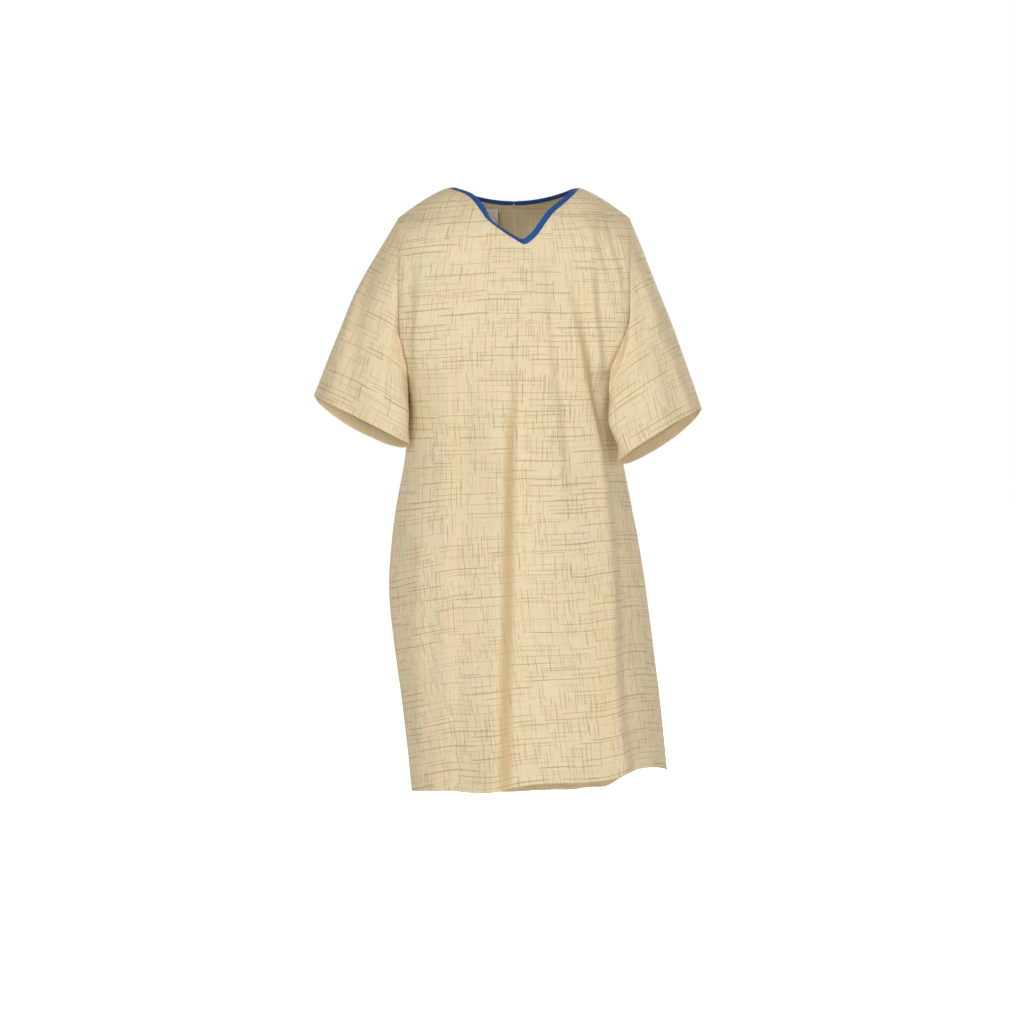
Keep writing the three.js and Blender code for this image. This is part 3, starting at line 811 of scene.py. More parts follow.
# Steps again, with lines of (share of the way to the cuff, degrees round from the top).
SLEEVE_FOLDS = {
    "left": [
        ([(0.0, 62), (0.5, 58), (1.0, 52)], [(0, 0.002), (0.3, 0.006), (1, 0.004)], 7, (20, 26)),
        ([(0.0, 110), (0.6, 100), (1.0, 84)], [(0, 0.001), (0.4, 0.004), (1, 0.002)], 9, (24, 20)),
        ([(0.0, -70), (1.0, -55)], [(0, 0.002), (0.5, 0.006), (1, 0.005)], 9, (24, 24)),
        ([(0.0, -115), (1.0, -110)], [(0, 0.001), (0.5, 0.005), (1, 0.004)], 9, (24, 24)),
    ],
    "right": [
        ([(0.15, 8), (0.35, 22), (0.7, 50), (1.0, 66)],
         [(0, 0), (0.3, 0.005), (1, 0.007)], 7, (26, 22)),
        ([(0.0, 100), (1.0, 118)], [(0, 0.002), (0.5, 0.004), (1, 0.002)], 9, (24, 24)),
        ([(0.0, -60), (1.0, -64)], [(0, 0.002), (0.5, 0.006), (1, 0.005)], 9, (24, 24)),
        ([(0.0, -120), (1.0, -108)], [(0, 0.001), (0.5, 0.005), (1, 0.004)], 9, (24, 24)),
    ],
}


def lapped(points, side, sag):
    """Moves a sleeve inwards by sag, and keeps it in front of the body wherever the two overlap."""
    x = points[:, :, 0] - side * sag
    z = points[:, :, 2]
    facing = np.sqrt(np.clip(1 - ((x - side_shift(z)) / half_width(z)) ** 2, 0, 1))
    clear = -cloth_depth(front_depth(z), facing, x, z) - LAP_GAP
    y = np.where((sag > 1e-4) & (facing > 0), np.minimum(points[:, :, 1], clear), points[:, :, 1])
    return np.stack([x, between(points[:, :, 1], y, blend_in(sag, 0, 0.004)), z], axis=2)


def sleeve_surface(name, side):
    """A tube between two loops: the armhole's ellipse, and the cuff. Columns start at the underarm
    and go up the back, over the top and down the front. It bows up a little on the way, sags over
    the body low on its front side, and then takes its folds."""
    cuff = {key: np.array(value) for key, value in CUFFS[name].items()}
    turn = math.pi + np.linspace(0, 2 * math.pi, 2 * UPPER_STEPS + 1)[:-1]
    up = np.cos(turn)[None, :, None]
    forward = np.sin(turn)[None, :, None]
    z = ARMHOLE_MIDDLE + ARMHOLE_RISE * up
    start = np.concatenate([side * half_width(z), -ARMHOLE_DEPTH * forward, z], axis=2)
    side_way = np.where(forward > 0, cuff["front"], cuff["back"])
    end = cuff["centre"] + cuff["outer"] * up + side_way * np.abs(forward)
    hem_share = 1 - CUFF_HEM / np.linalg.norm(end - start, axis=2, keepdims=True)
    body_steps = SLEEVE_STEPS - CUFF_STEPS
    down = np.concatenate([
        hem_share * np.linspace(0, 1, body_steps + 1)[:, None, None],
        1 - (1 - hem_share) * np.linspace(1, 0, CUFF_STEPS + 1)[1:, None, None]])
    bow = cuff["fullness"] * np.clip(up, 0, 1) * np.sin(down * math.pi)
    points = start + (end - start) * down + bow * np.array((side, 0, 0.5))
    degrees = np.degrees(np.arctan2(np.sin(turn), np.cos(turn)))[None, :] + 0 * down[:, :, 0]
    along = down[:, :, 0] + 0 * degrees
    sag = SLEEVE_SAG[name] * blend_in(along, 0, 0.18) * (1 - blend_in(along, 0.6, 1.0))
    sag = sag * np.exp(-(((degrees - SAG_MIDDLE) / SAG_SPREAD) ** 2))
    sag = sag * blend_in(180 - degrees, 0, 18) * (degrees > 0)
    points = lapped(points, side, sag)
    rise = ripples(degrees / 300, along * 0.2, 0.09, 0.0010, 31 + side)
    for fold in SLEEVE_FOLDS[name]:
        rise = rise + step_fold(degrees, along, *fold)
    rise = rise * blend_in(along, 0, 0.16) * blend_in(180 - np.abs(degrees), 0, 25)
    return folded(points, rise, ring=True)


sleeves = {}
for name, side in SIDES.items():
    points, turned = sleeve_surface(name, side)
    closed = closed_round(points)
    across = steps_along(closed, 1)
    across = (across - across[:, [UPPER_STEPS]]) * side + SLEEVE_PRINT_START[name]
    along = steps_along(closed, 0)
    uv = np.stack([across, along[-1:] - along], axis=2)
    sleeves[name] = points
    cloth[name + "_sleeve"] = panel(name + "_sleeve_cloth", points, uv, turned, ring=True)
    print(f"{name} cuff {np.ptp(across[-1]):.3f} m round, {along[-1].mean():.3f} m long")

# %% [markdown]
# ## Turned hems
# A hem is the cloth's own end, turned up inside and stitched. Here it is a second strip that starts
# at the fold under the panel's edge and runs back up against the inner face, so that the edge looks
# rolled and has the weight of two layers. The bottom hem and the cuffs use the same function.

# %% Strips against the inside
LAYER_GAP = 0.0003
INNER_DEPTH = CLOTH_THICK + LAYER_GAP


def hem_strip(name, points, normals, uv, steps, ring=False):
    """The last rows of a panel, again, at INNER_DEPTH inside it. The first row of the strip dips
    under the panel's edge by one thickness, which makes the rolled fold."""
    foot = points[-1] - points[-2]
    foot = foot / np.linalg.norm(foot, axis=1, keepdims=True)
    fold = points[-1] + foot * CLOTH_THICK - normals[-1] * CLOTH_THICK / 2
    body = points[-steps - 1:] - normals[-steps - 1:] * INNER_DEPTH
    rows = np.concatenate([body, fold[None]], axis=0)
    strip_uv = np.concatenate([uv[-steps - 1:], uv[-1:] - (0, CLOTH_THICK)], axis=0)
    return as_cloth(grid_object(name, rows, strip_uv, ring), STRIP_THICK)


def inner_strip(name, points, normals, depth, inside=None):
    """A strip of seam allowance: part of a grid, moved inwards by depth."""
    rows = points - normals * depth
    return as_cloth(grid_object(name, rows, plain_uv(rows), inside=inside), STRIP_THICK)


HEM_STEPS = 2
trims = {"front": [hem_strip("front_hem_fold", front_points, front_normals, front_uv, HEM_STEPS)]}
back_normals = {name: normals_of(points) for name, points in backs.items()}
sleeve_normals = {name: normals_of(points, True) for name, points in sleeves.items()}
for name in SIDES:
    back_uv = np.stack([steps_along(backs[name], 1), backs[name][:, :, 2]], axis=2)
    trims[name + "_back"] = [hem_strip(
        name + "_back_hem_fold", backs[name], back_normals[name], back_uv, HEM_STEPS)]
    trims[name + "_sleeve"] = [hem_strip(
        name + "_sleeve_hem_fold", sleeves[name], sleeve_normals[name],
        plain_uv(sleeves[name], ring=True), CUFF_STEPS, ring=True)]
print("hems turned")

# %% [markdown]
# ## Seams and edge hems
# Inside, every seam shows two allowances pressed open, and the two edges of the back opening are
# turned and stitched. They are strips of the same grids, one layer further in, so they keep to the
# panels wherever the folds go.

# %% Seam allowances
SEAM_DEPTH = INNER_DEPTH + 0.0010
side_rows = slice(UNDERARM_ROW, -HEM_STEPS - 1)
sleeve_rows = slice(2, -CUFF_STEPS - 1)
first_shoulder = NECK_COLUMNS[1] + 1


def edge_rows(back, last):
    """The rows of a back where its edge is free to swing, down to the last one."""
    return slice(np.argmin(np.abs(back[:, 0, 2] - SWING_TOP_Z)), last)


# Each strip is cut twice in the same way: once from the panels' points, once from their normals.
for name, side in SIDES.items():
    grids = ((front_points, backs[name]), (front_normals, back_normals[name]))
    front_edge = slice(-3, None) if side > 0 else slice(2, None, -1)
    strip = [np.concatenate([front[side_rows, front_edge], back[side_rows, :-4:-1]], axis=1)
             for front, back in grids]
    trims["front"].append(inner_strip(name + "_side_seam_allowance", *strip, SEAM_DEPTH))

    shoulder = slice(first_shoulder, -1) if side > 0 else slice(-first_shoulder - 1, 0, -1)
    strip = [np.concatenate([front[8:0:-3, shoulder], back[1:9:3, NECK_STEPS + 1:-1]])
             for front, back in grids]
    trims["front"].append(inner_strip(name + "_shoulder_seam_allowance", *strip, SEAM_DEPTH))

    rows = edge_rows(backs[name], -HEM_STEPS - 1)
    strip = [grid[rows, :3] for grid in (backs[name], back_normals[name])]
    trims[name + "_back"].append(inner_strip(name + "_back_edge_turning", *strip, INNER_DEPTH))

    tube, tube_up = sleeves[name], sleeve_normals[name]
    armhole = grid_object(name + "_armhole_seam_allowance", tube[:2] - tube_up[:2] * INNER_DEPTH,
                          plain_uv(tube, ring=True)[:2], ring=True)
    strip = [np.concatenate([grid[sleeve_rows, -2:], grid[sleeve_rows, :3]], axis=1)
             for grid in (tube, tube_up)]
    trims[name + "_sleeve"] += [
        as_cloth(armhole, STRIP_THICK),
        inner_strip(name + "_underarm_seam_allowance", *strip, SEAM_DEPTH,
                    inside_of(tube, True)[sleeve_rows])]
print("seam allowances:", sum(len(strips) for strips in trims.values()))

# %% [markdown]
# ## Neck binding
# The neckline is finished with blue bias tape: a strip folded over the raw edge and stitched
# through. A small closed profile, thin and round at its fold, is carried along the neckline. At the
# V it is mitred. On the wearer's right of the V the tape has rolled inwards, so it shows narrower.

# %% Tape along a path
def swept(name, places, out_ways, up_ways, profile):
    """Carries a closed profile of (out, up) pairs along a path. Each row is the profile placed with
    that row's two directions, and a fan closes each end."""
    profile = np.broadcast_to(profile, (len(places), *np.shape(profile)[-2:]))
    points = (places[:, None] + out_ways[:, None] * profile[..., :1]
              + up_ways[:, None] * profile[..., 1:])
    piece = grid_object(name, points, plain_uv(points, ring=True) * (1, -1), ring=True)
    close_ends(piece)
    return piece


def close_ends(piece):
    """Fills the first and the last ring of a tube."""
    edit = bmesh.new()
    edit.from_mesh(piece.data)
    edges = [edge for edge in edit.edges if edge.is_boundary]
    bmesh.ops.holes_fill(edit, edges=edges, sides=0)
    edit.to_mesh(piece.data)
    edit.free()


def unit(vectors):
    """Each vector at length 1."""
    return vectors / np.maximum(np.linalg.norm(vectors, axis=-1, keepdims=True), 1e-12)


def tape_directions(path, up):
    """Directions out from the cloth's edge, lengthened at a corner as a mitre is."""
    arriving = unit(np.diff(path, axis=0, prepend=path[:1] - (path[1:2] - path[:1])))
    leaving = unit(np.diff(path, axis=0, append=path[-1:] + (path[-1:] - path[-2:-1])))
    along = unit(arriving + leaving)
    return unit(np.cross(up, along)) / np.sum(along * leaving, axis=1, keepdims=True)


def round_neck(right_back, front, left_back):
    """The neckline from the opening's right edge, round the front, to the opening's left edge."""
    return np.concatenate([right_back[0, :NECK_STEPS],
                           front[0, NECK_COLUMNS[0]:NECK_COLUMNS[1] + 1],
                           left_back[0, NECK_STEPS - 1::-1]])


# Pairs of (out past the cloth's edge, up off the cloth), round the tape's section.
TAPE_PROFILE = np.array([
    (-0.0028, 0.0002), (-0.0028, 0.0009), (0.0010, 0.0011), (0.0052, 0.0010), (0.0077, 0.0006),
    (0.0086, -0.0005), (0.0077, -0.0016), (0.0052, -0.0019), (0.0010, -0.0019), (-0.0028, -0.0017),
    (-0.0028, -0.0010), (0.0004, -0.0004),
])
neck_path = round_neck(backs["right"], front_points, backs["left"])
neck_up = round_neck(back_normals["right"], front_normals, back_normals["left"])
neck_out = tape_directions(neck_path, neck_up)
print(f"binding {steps_along(neck_path[None], 1)[0, -1]:.3f} m long")

# %% The binding
ROLL_PLACE = (-0.058, 0.008)
ROLL_RUN = (0.012, 0.016)
ROLL_TURN = math.radians(62)


def rolled_profiles(path):
    """The tape's profile at each place, turned about the cloth's edge where it has rolled in."""
    front = path[:, 1] < 0
    roll = blend_in(path[:, 0], ROLL_PLACE[0], ROLL_PLACE[0] + ROLL_RUN[0])
    roll = roll * (1 - blend_in(path[:, 0], ROLL_PLACE[1], ROLL_PLACE[1] + ROLL_RUN[1]))
    roll = roll * front * ROLL_TURN
    cos, sin = np.cos(roll)[:, None], np.sin(roll)[:, None]
    out, up = TAPE_PROFILE[None, :, 0], TAPE_PROFILE[None, :, 1]
    return np.stack([out * cos + up * sin, up * cos - out * sin], axis=2)


binding = smooth_piece(swept(
    "neck_binding_tape", neck_path, neck_out, unit(neck_up), rolled_profiles(neck_path)))
print("binding:", len(binding.data.polygons), "faces")

# %% [markdown]
# ## The bow behind the neck
# The two ends of the binding run on as ties and meet in a bow. Each tie is one ribbon: out in a
# loop, round its end, back through the knot and down as a tail. A ribbon is the same kind of sweep
# as the binding, along a curve through a few stations in the bow's own plane, which slopes with the
# cloth.

# %% Ribbons
ACROSS = np.array((1.0, 0, 0))
BOW_PLACE = np.array((0, 0.086, -0.028))
BOW_LEAN = math.atan2(35, 50)  # the cloth there goes back 35 mm as it falls 50 mm
bow_down = np.array((0, math.sin(BOW_LEAN), -math.cos(BOW_LEAN)))
bow_out = np.array((0, math.cos(BOW_LEAN), math.sin(BOW_LEAN)))


def ribbon_profile(width, thick):
    """A flat strip's section with rounded edges."""
    half, lift = width / 2, thick / 2
    return np.array([
        (-half, 0), (-half * 0.93, -lift), (-half * 0.4, -lift), (half * 0.4, -lift),
        (half * 0.93, -lift), (half, 0), (half * 0.93, lift), (half * 0.4, lift),
        (-half * 0.4, lift), (-half * 0.93, lift)])


def smooth_path(stations, steps):
    """A curve through stations, each a row of numbers, by a cubic in every column."""
    stations = np.asarray(stations, float)
    place = np.linspace(0, 1, len(stations))
    at = np.linspace(0, 1, steps)
    curves = [through(np.stack([place, column], axis=1)) for column in stations.T]
    return np.stack([curve(at) for curve in curves], axis=1)


def ribbon(name, places, width_ways, width, thick):
    """A strip whose width lies along width_ways, squared up to the path."""
    along = unit(np.gradient(places, axis=0))
    across = unit(width_ways - along * np.sum(width_ways * along, axis=1, keepdims=True))
    up = np.cross(along, across)
    return smooth_piece(swept(name, places, across, up, ribbon_profile(width, thick)))


print(f"the bow leans {math.degrees(BOW_LEAN):.0f} degrees")

# %% Bow
MILLIMETRE = 0.001
RIBBON_STEPS = 60
NECK_TIE_WIDTH = 0.009
NECK_TIE_THICK = 0.0013
BOW_STRETCH = {"left": 1.0, "right": 0.93}
# Each station: across, down and out in millimetres, then the width's direction across and down.
TIE_STATIONS = [
    (2, 0, 0.6, 0, 1), (16, -4, 0.8, 0.05, 1), (36, -1, 0.6, 0.1, 1), (49, 2, 1.4, 0.12, 1),
    (54, 4, 5, 0.12, 1), (49, 4.5, 9, 0.12, 1), (34, 3, 9.5, 0.1, 1), (16, 0, 6, 0.05, 1),
    (3, 0, 3, 0.1, 1), (3, 3, 1.6, 0.8, 0.5), (10, 14, 0.9, 0.88, -0.3), (20, 31, 0.5, 0.86, -0.5),
    (29, 46, -0.6, 0.86, -0.5), (37, 60, -2.2, 0.86, -0.5),
]
bow = {}
for name, side in SIDES.items():
    path = smooth_path(TIE_STATIONS, RIBBON_STEPS)
    stretch = BOW_STRETCH[name]
    local = path[:, :3] * MILLIMETRE * (side * stretch, stretch, 1)
    places = (BOW_PLACE + local[:, :1] * ACROSS + local[:, 1:2] * bow_down
              + local[:, 2:] * bow_out)
    widths = path[:, 3:4] * side * ACROSS + path[:, 4:] * bow_down
    bow[name] = ribbon(name + "_neck_tie_ribbon", places, widths, NECK_TIE_WIDTH, NECK_TIE_THICK)
    print(f"{name} neck tie {steps_along(places[None], 1)[0, -1]:.3f} m of tape")

# %% Knot
KNOT_HALF = (0.0058, 0.0068, 0.0050)
KNOT_LIFT = 0.0042
KNOT_POLE = 0.06
KNOT_RINGS, KNOT_COLUMNS = 21, 32
KNOT_UV = (0.04, 0.03)


def knot_surface():
    """A ball drawn out to KNOT_HALF, with the creases of tape pulled round it. It runs from one
    side to the other, and stops KNOT_POLE short of each, where a flat end closes it."""
    around = np.linspace(0, 2 * math.pi, KNOT_COLUMNS + 1)[:-1][None, :]
    down = np.linspace(KNOT_POLE, math.pi - KNOT_POLE, KNOT_RINGS)[:, None]
    crease = 1 + 0.07 * np.cos(around * 3 + 2.2 * down) * np.sin(down)
    across = KNOT_HALF[0] * np.cos(down) * (1 + 0.12 * np.cos(around * 2))
    fall = KNOT_HALF[1] * np.sin(down) * np.cos(around) * crease
    proud = KNOT_HALF[2] * np.sin(down) * np.sin(around) * crease
    return (BOW_PLACE + bow_out * KNOT_LIFT + across[:, :, None] * ACROSS
            + fall[:, :, None] * bow_down + proud[:, :, None] * bow_out)


knot_uv = np.stack(np.meshgrid(np.linspace(0, KNOT_UV[0], KNOT_COLUMNS + 1),
                               np.linspace(0, KNOT_UV[1], KNOT_RINGS)), axis=2)
knot = grid_object("neck_tie_knot_wrap", knot_surface(), knot_uv, ring=True)
close_ends(knot)
smooth_piece(knot)
print("bow tied")

# %% [markdown]
# ## Waist ties
# Each edge of the opening carries one tie at the waist: a narrow flat tape, sewn on with a stitched
# square. It hangs against the cloth, bends a little in and out and lies a little askew, so its path
# reads the depth of the cloth behind it.

# %% Waist ties
TIE_WIDTH = 0.012
TIE_THICK = 0.0011
TIE_LIFT = 0.0016
TACK_WIDTH = TIE_WIDTH + 0.001
TACK_THICK = TIE_THICK * 1.6
TACK_LIFT = 0.0010
TIE_STATION_COUNT = 48
TACK_STATION_COUNT = 7
NEAR_TIE = 0.016


def depth_behind(points, x, z):
    """The outermost depth of a back within NEAR_TIE of each place (x, z)."""
    aside = points[None, :, :, 0] - x[:, None, None]
    above = points[None, :, :, 2] - z[:, None, None]
    return np.where(np.hypot(aside, above) < NEAR_TIE, points[None, :, :, 1], -1).max(axis=(1, 2))


def tie_path(name, side):
    """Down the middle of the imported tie, just off the cloth, with a slow waver. The depth of the
    cloth is averaged over nine stations, so that the tape bridges its small hollows."""
    low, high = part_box(name + "_waist_tie")
    x = (low[0] + high[0]) / 2
    z = np.linspace(high[2], low[2], TIE_STATION_COUNT)
    down = (high[2] - z) / (high[2] - low[2])
    cloth_y = depth_behind(backs[name], np.full_like(z, x), z)
    soft = np.convolve(np.pad(cloth_y, 4, "edge"), np.full(9, 1 / 9), "valid")
    y = np.maximum(soft, cloth_y) + TIE_LIFT + 0.0012 * np.sin(down * 9 + side)
    sway = 0.0030 * np.sin(down * 5.2 + side) * down
    return np.stack([x + sway, y, z], axis=1), down


ties = {}
tacks = {}
for name, side in SIDES.items():
    places, down = tie_path(name, side)
    twist = 0.30 * np.sin(down * 6 + 2 * side) * down
    widths = np.stack([np.cos(twist), np.sin(twist), 0 * twist], axis=1)
    ties[name] = ribbon(name + "_waist_tie_tape", places, widths, TIE_WIDTH, TIE_THICK)
    low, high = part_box(name + "_waist_tie_tack")
    z = np.linspace(high[2], low[2], TACK_STATION_COUNT)
    x = np.full_like(z, places[0, 0])
    y = np.full_like(z, depth_behind(backs[name], x, z).max() + TACK_LIFT)
    tacks[name] = ribbon(name + "_waist_tie_end", np.stack([x, y, z], axis=1),
                         np.tile(ACROSS, (len(z), 1)), TACK_WIDTH, TACK_THICK)
    print(f"{name} waist tie {steps_along(places[None], 1)[0, -1]:.3f} m")

# %% [markdown]
# ## Care label
# A plain white label hangs inside the neck. It stays blank here. It is a small satin strip with a
# soft curl, held at its top.

# %% Label
LABEL_SIZE = (0.036, 0.052)
LABEL_THICK = 0.0004
LABEL_LEAN = math.atan2(24, 45)  # the inside of the back goes out 24 mm as it falls 45 mm
LABEL_INSIDE = (-0.048, 0.3, -0.058)


def label_surface():
    """A flat strip down the inside of the back with a curl that grows towards its foot."""
    low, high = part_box("care_label")
    middle = (np.array(low) + np.array(high)) / 2
    lean = LABEL_LEAN
    across = np.linspace(-0.5, 0.5, 11)[None, :] * LABEL_SIZE[0]
    down = np.linspace(-0.5, 0.5, 15)[:, None] * LABEL_SIZE[1]
    edge, foot = across / (LABEL_SIZE[0] / 2), down / (LABEL_SIZE[1] / 2)
    curl = 0.0016 * edge**2 * (foot + 1) + 0.0010 * np.sin(down * 90)
    x = middle[0] + across + 0 * down
    y = middle[1] + down * math.sin(lean) - curl * math.cos(lean)
    z = middle[2] - down * math.cos(lean) - curl * math.sin(lean)
    return np.stack([x, y + 0 * x, z + 0 * x], axis=2)


label_points = label_surface()
label = as_cloth(grid_object("blank_label", label_points, plain_uv(label_points),
                             inside=LABEL_INSIDE), LABEL_THICK)
print("label ready")

# %% [markdown]
# ## Stitching
# Thread is what tells the eye that a hem is sewn. A row of stitches is one small stretched
# octahedron, eight faces, repeated at even distances along a path on the cloth.

# %% Rows of stitches
STITCH_PITCH = 0.0034
STITCH_HALF = (0.0013, 0.00026, 0.00022)
STITCH_LIFT = 0.0002
LOOK_AHEAD = 0.001
OCTAHEDRON = np.array([(1, 0, 0), (-1, 0, 0), (0, 1, 0), (0, -1, 0), (0, 0, 1), (0, 0, -1)], float)
OCTAHEDRON_FACES = np.array([
    (0, 2, 4), (2, 1, 4), (1, 3, 4), (3, 0, 4), (2, 0, 5), (1, 2, 5), (3, 1, 5), (0, 3, 5)])


def read_at(values, gone, at):
    """The three columns of values, read where the distance gone equals at."""
    return np.stack([np.interp(at, gone, values[:, k]) for k in range(3)], axis=1)


def stitch_row(name, path, up, lift=STITCH_LIFT, closed=False):
    """Octahedra at even distances along path, each long way along it and lifted off the cloth."""
    if closed:
        path, up = np.concatenate([path, path[:1]]), np.concatenate([up, up[:1]])
    gone = steps_along(path[None], 1)[0]
    count = int(gone[-1] / STITCH_PITCH)
    at = (np.arange(count) + 0.5) * gone[-1] / count
    rise = unit(read_at(up, gone, at))
    along = unit(read_at(path, gone, at + LOOK_AHEAD) - read_at(path, gone, at - LOOK_AHEAD))
    side_way = np.cross(rise, along)
    axes = np.stack([along, side_way, np.cross(along, side_way)], axis=1)
    shape = np.einsum("vk,nkd->nvd", OCTAHEDRON, axes * np.array(STITCH_HALF)[None, :, None])
    points = (read_at(path, gone, at) + rise * lift)[:, None] + shape
    faces = OCTAHEDRON_FACES[None] + len(OCTAHEDRON) * np.arange(count)[:, None, None]
    piece = new_piece(name, points, faces.reshape(-1, 3))
    layer = piece.data.uv_layers.new(name="cloth")
    layer.data.foreach_set("uv", np.zeros(2 * len(piece.data.loops), np.float32))
    return piece


def hem_stitches(name, points, normals, steps, share, closed=False):
    """A row of stitches just under the top of a hem: share of a row below where it starts."""
    path, up = (grid[-steps - 1] + (grid[-steps] - grid[-steps - 1]) * share
                for grid in (points, normals))
    return stitch_row(name, path, up, closed=closed)


print(f"a stitch every {STITCH_PITCH * 1000:.1f} mm")

# %% Threads
HEM_STITCH_SHARE = 0.2
CUFF_STITCH_SHARE = 0.25
BINDING_STITCH_IN = 0.0014
BINDING_STITCH_LIFT = 0.0011

threads = {
    "front": [hem_stitches("front_hem_stitches", front_points, front_normals, HEM_STEPS,
                           HEM_STITCH_SHARE)],
    "binding": [stitch_row("binding_stitches", neck_path[1:-1] - neck_out[1:-1] * BINDING_STITCH_IN,
                           neck_up[1:-1], BINDING_STITCH_LIFT)],
}
for name in SIDES:
    back, back_up = backs[name], back_normals[name]
    rows = edge_rows(back, -1)
    threads[name + "_back"] = [
        hem_stitches(name + "_back_hem_stitches", back, back_up, HEM_STEPS, HEM_STITCH_SHARE),
        stitch_row(name + "_back_edge_stitches", back[rows, 1], back_up[rows, 1])]
    threads[name + "_sleeve"] = [hem_stitches(
        name + "_cuff_stitches", sleeves[name], sleeve_normals[name], CUFF_STEPS,
        CUFF_STITCH_SHARE, closed=True)]
faces = sum(len(piece.data.polygons) for rows in threads.values() for piece in rows)
print("stitches:", faces // len(OCTAHEDRON_FACES))

# %% [markdown]
# ## The printed cloth
# The print is a loose crosshatch, like dry brush strokes on cream: level lines a centimetre apart,
# some long and some short, and upright ones that crowd into blocks. It could be painted on an
# image, but a few noise nodes draw it at any size. Each family of lines cuts the cloth into rows,
# each row into lengths, and asks white noise about each length: is there a stroke here, how far
# does it reach, how dark and what ink.

# %% Strokes
CREAM = (0.800, 0.692, 0.488, 1)
CREAM_WARM = (0.810, 0.655, 0.430, 1)
CREAM_GREEN = (0.735, 0.690, 0.440, 1)
# The wrong side's cream is painted lighter than CREAM: painted light standing in for light coming
# through the cloth.
CREAM_INSIDE_PAINTED_LIGHT = (0.880, 0.730, 0.480, 1)
# The next tan is painted shade for the steep sides of folds.
FOLD_SHADE_TAN = (0.680, 0.480, 0.230, 1)
INKS = [
    (0.0, (0.250, 0.215, 0.100, 1)), (0.30, (0.230, 0.255, 0.135, 1)),
    (0.55, (0.400, 0.235, 0.110, 1)), (0.78, (0.560, 0.250, 0.130, 1)),
    (1.0, (0.520, 0.490, 0.160, 1)),
]
ROW_JITTER = 0.55
LINE_SOFT = 0.45
END_SHARPNESS = 12.0


def white_noise(paint, x, y, seed):
    """Three even random numbers for each whole-number cell (x, y)."""
    noise = paint.node("ShaderNodeTexWhiteNoise", {"noise_dimensions": "3D"},
                       {"Vector": paint.joined(x, y, seed)}, 1)
    return paint.parts(noise)


def strokes(paint, across, along, pitch, length, width, chance, seed):
    """Lines along one direction of the cloth. across/pitch numbers the rows; each row is shifted by
    its own amount, cut into lengths, and each length keeps a stroke with the given chance. Returns
    how strongly a stroke covers each point, and a random number for its ink."""
    scaled = across / pitch
    row = scaled.math("FLOOR")
    row_draw = white_noise(paint, row, seed, 0.5)
    place = along / length + row_draw[0] * 9.0
    cell = place.math("FLOOR")
    draw = white_noise(paint, row, cell, seed)
    off_line = (scaled - row - 0.5 - (row_draw[1] - 0.5) * ROW_JITTER).math("ABSOLUTE") * pitch
    half = width * (0.35 + 0.65 * draw[2])
    line = ((half - off_line) / (width * LINE_SOFT)).clamped()
    run = place - cell
    reach = 0.55 + draw[1] * 0.45
    ends = (run * END_SHARPNESS).clamped() * ((reach - run) * END_SHARPNESS).clamped()
    shown = draw[0].below(chance)
    return line * ends * shown * (0.45 + 0.55 * draw[2]), row_draw[2] * 0.5 + draw[1] * 0.5


WAVER = 0.006


def clouds(paint, place, scale, detail, output=0):
    """Soft noise over the cloth, with scale lumps to the metre. Output 1 is its three colours."""
    return paint.node("ShaderNodeTexNoise", {"noise_dimensions": "2D"},
                      {"Vector": place, "Scale": scale, "Detail": detail}, output)


def cloth_place(paint):
    """The cloth's own two directions in metres, as they are and with the waver of its printing."""
    uv = paint.node("ShaderNodeUVMap", {"uv_map": "cloth"})
    moved = paint.parts(clouds(paint, uv, 10.0, 1.0, 1))
    u, v, _ = paint.parts(uv)
    return uv, u + (moved[0] - 0.5) * WAVER, v + (moved[1] - 0.5) * WAVER


def patches(paint, uv, scale, low, high, shift):
    """Soft-edged patches of noise on the cloth: 0 outside, 1 inside."""
    moved = paint.node("ShaderNodeMapping", None, {"Vector": uv, "Location": (shift, shift, 0)})
    return ((clouds(paint, moved, scale, 1.0) - low) / (high - low)).clamped()


print("inks:", len(INKS))

# %% [markdown]
# Four families make the print: level strokes, fewer and shorter ones between them, close uprights
# that only show inside patches, and a few long uprights everywhere. Under the strokes the cream
# turns faintly warm or green in patches. The wrong side is the same print, seen faintly, over a
# cream painted lighter as painted light coming through the cloth.

# %% Print and cloth
# Each family: level or upright, pitch, length, width, chance, ink strength.
STROKE_FAMILIES = [
    ("level", 0.0120, 0.170, 0.0013, 0.96, 0.66),
    ("level", 0.0085, 0.085, 0.0011, 0.62, 0.55),
    ("upright", 0.0050, 0.044, 0.0011, 0.90, 0.55),
    ("upright", 0.0095, 0.060, 0.0011, 0.70, 0.55),
]
CROWDED = 2  # the family that only shows inside patches
SLUB_TAN = (0.60, 0.49, 0.28, 1)
# The painted fold shade: how fast it grows with the turn of the cloth, and its most.
FOLD_SHADE_GAIN = 2.0
FOLD_SHADE_MOST = 0.6
WEAVE_SCALE = 1100.0
SLUB_SCALE = 260.0
CREASE_SCALE = 22.0


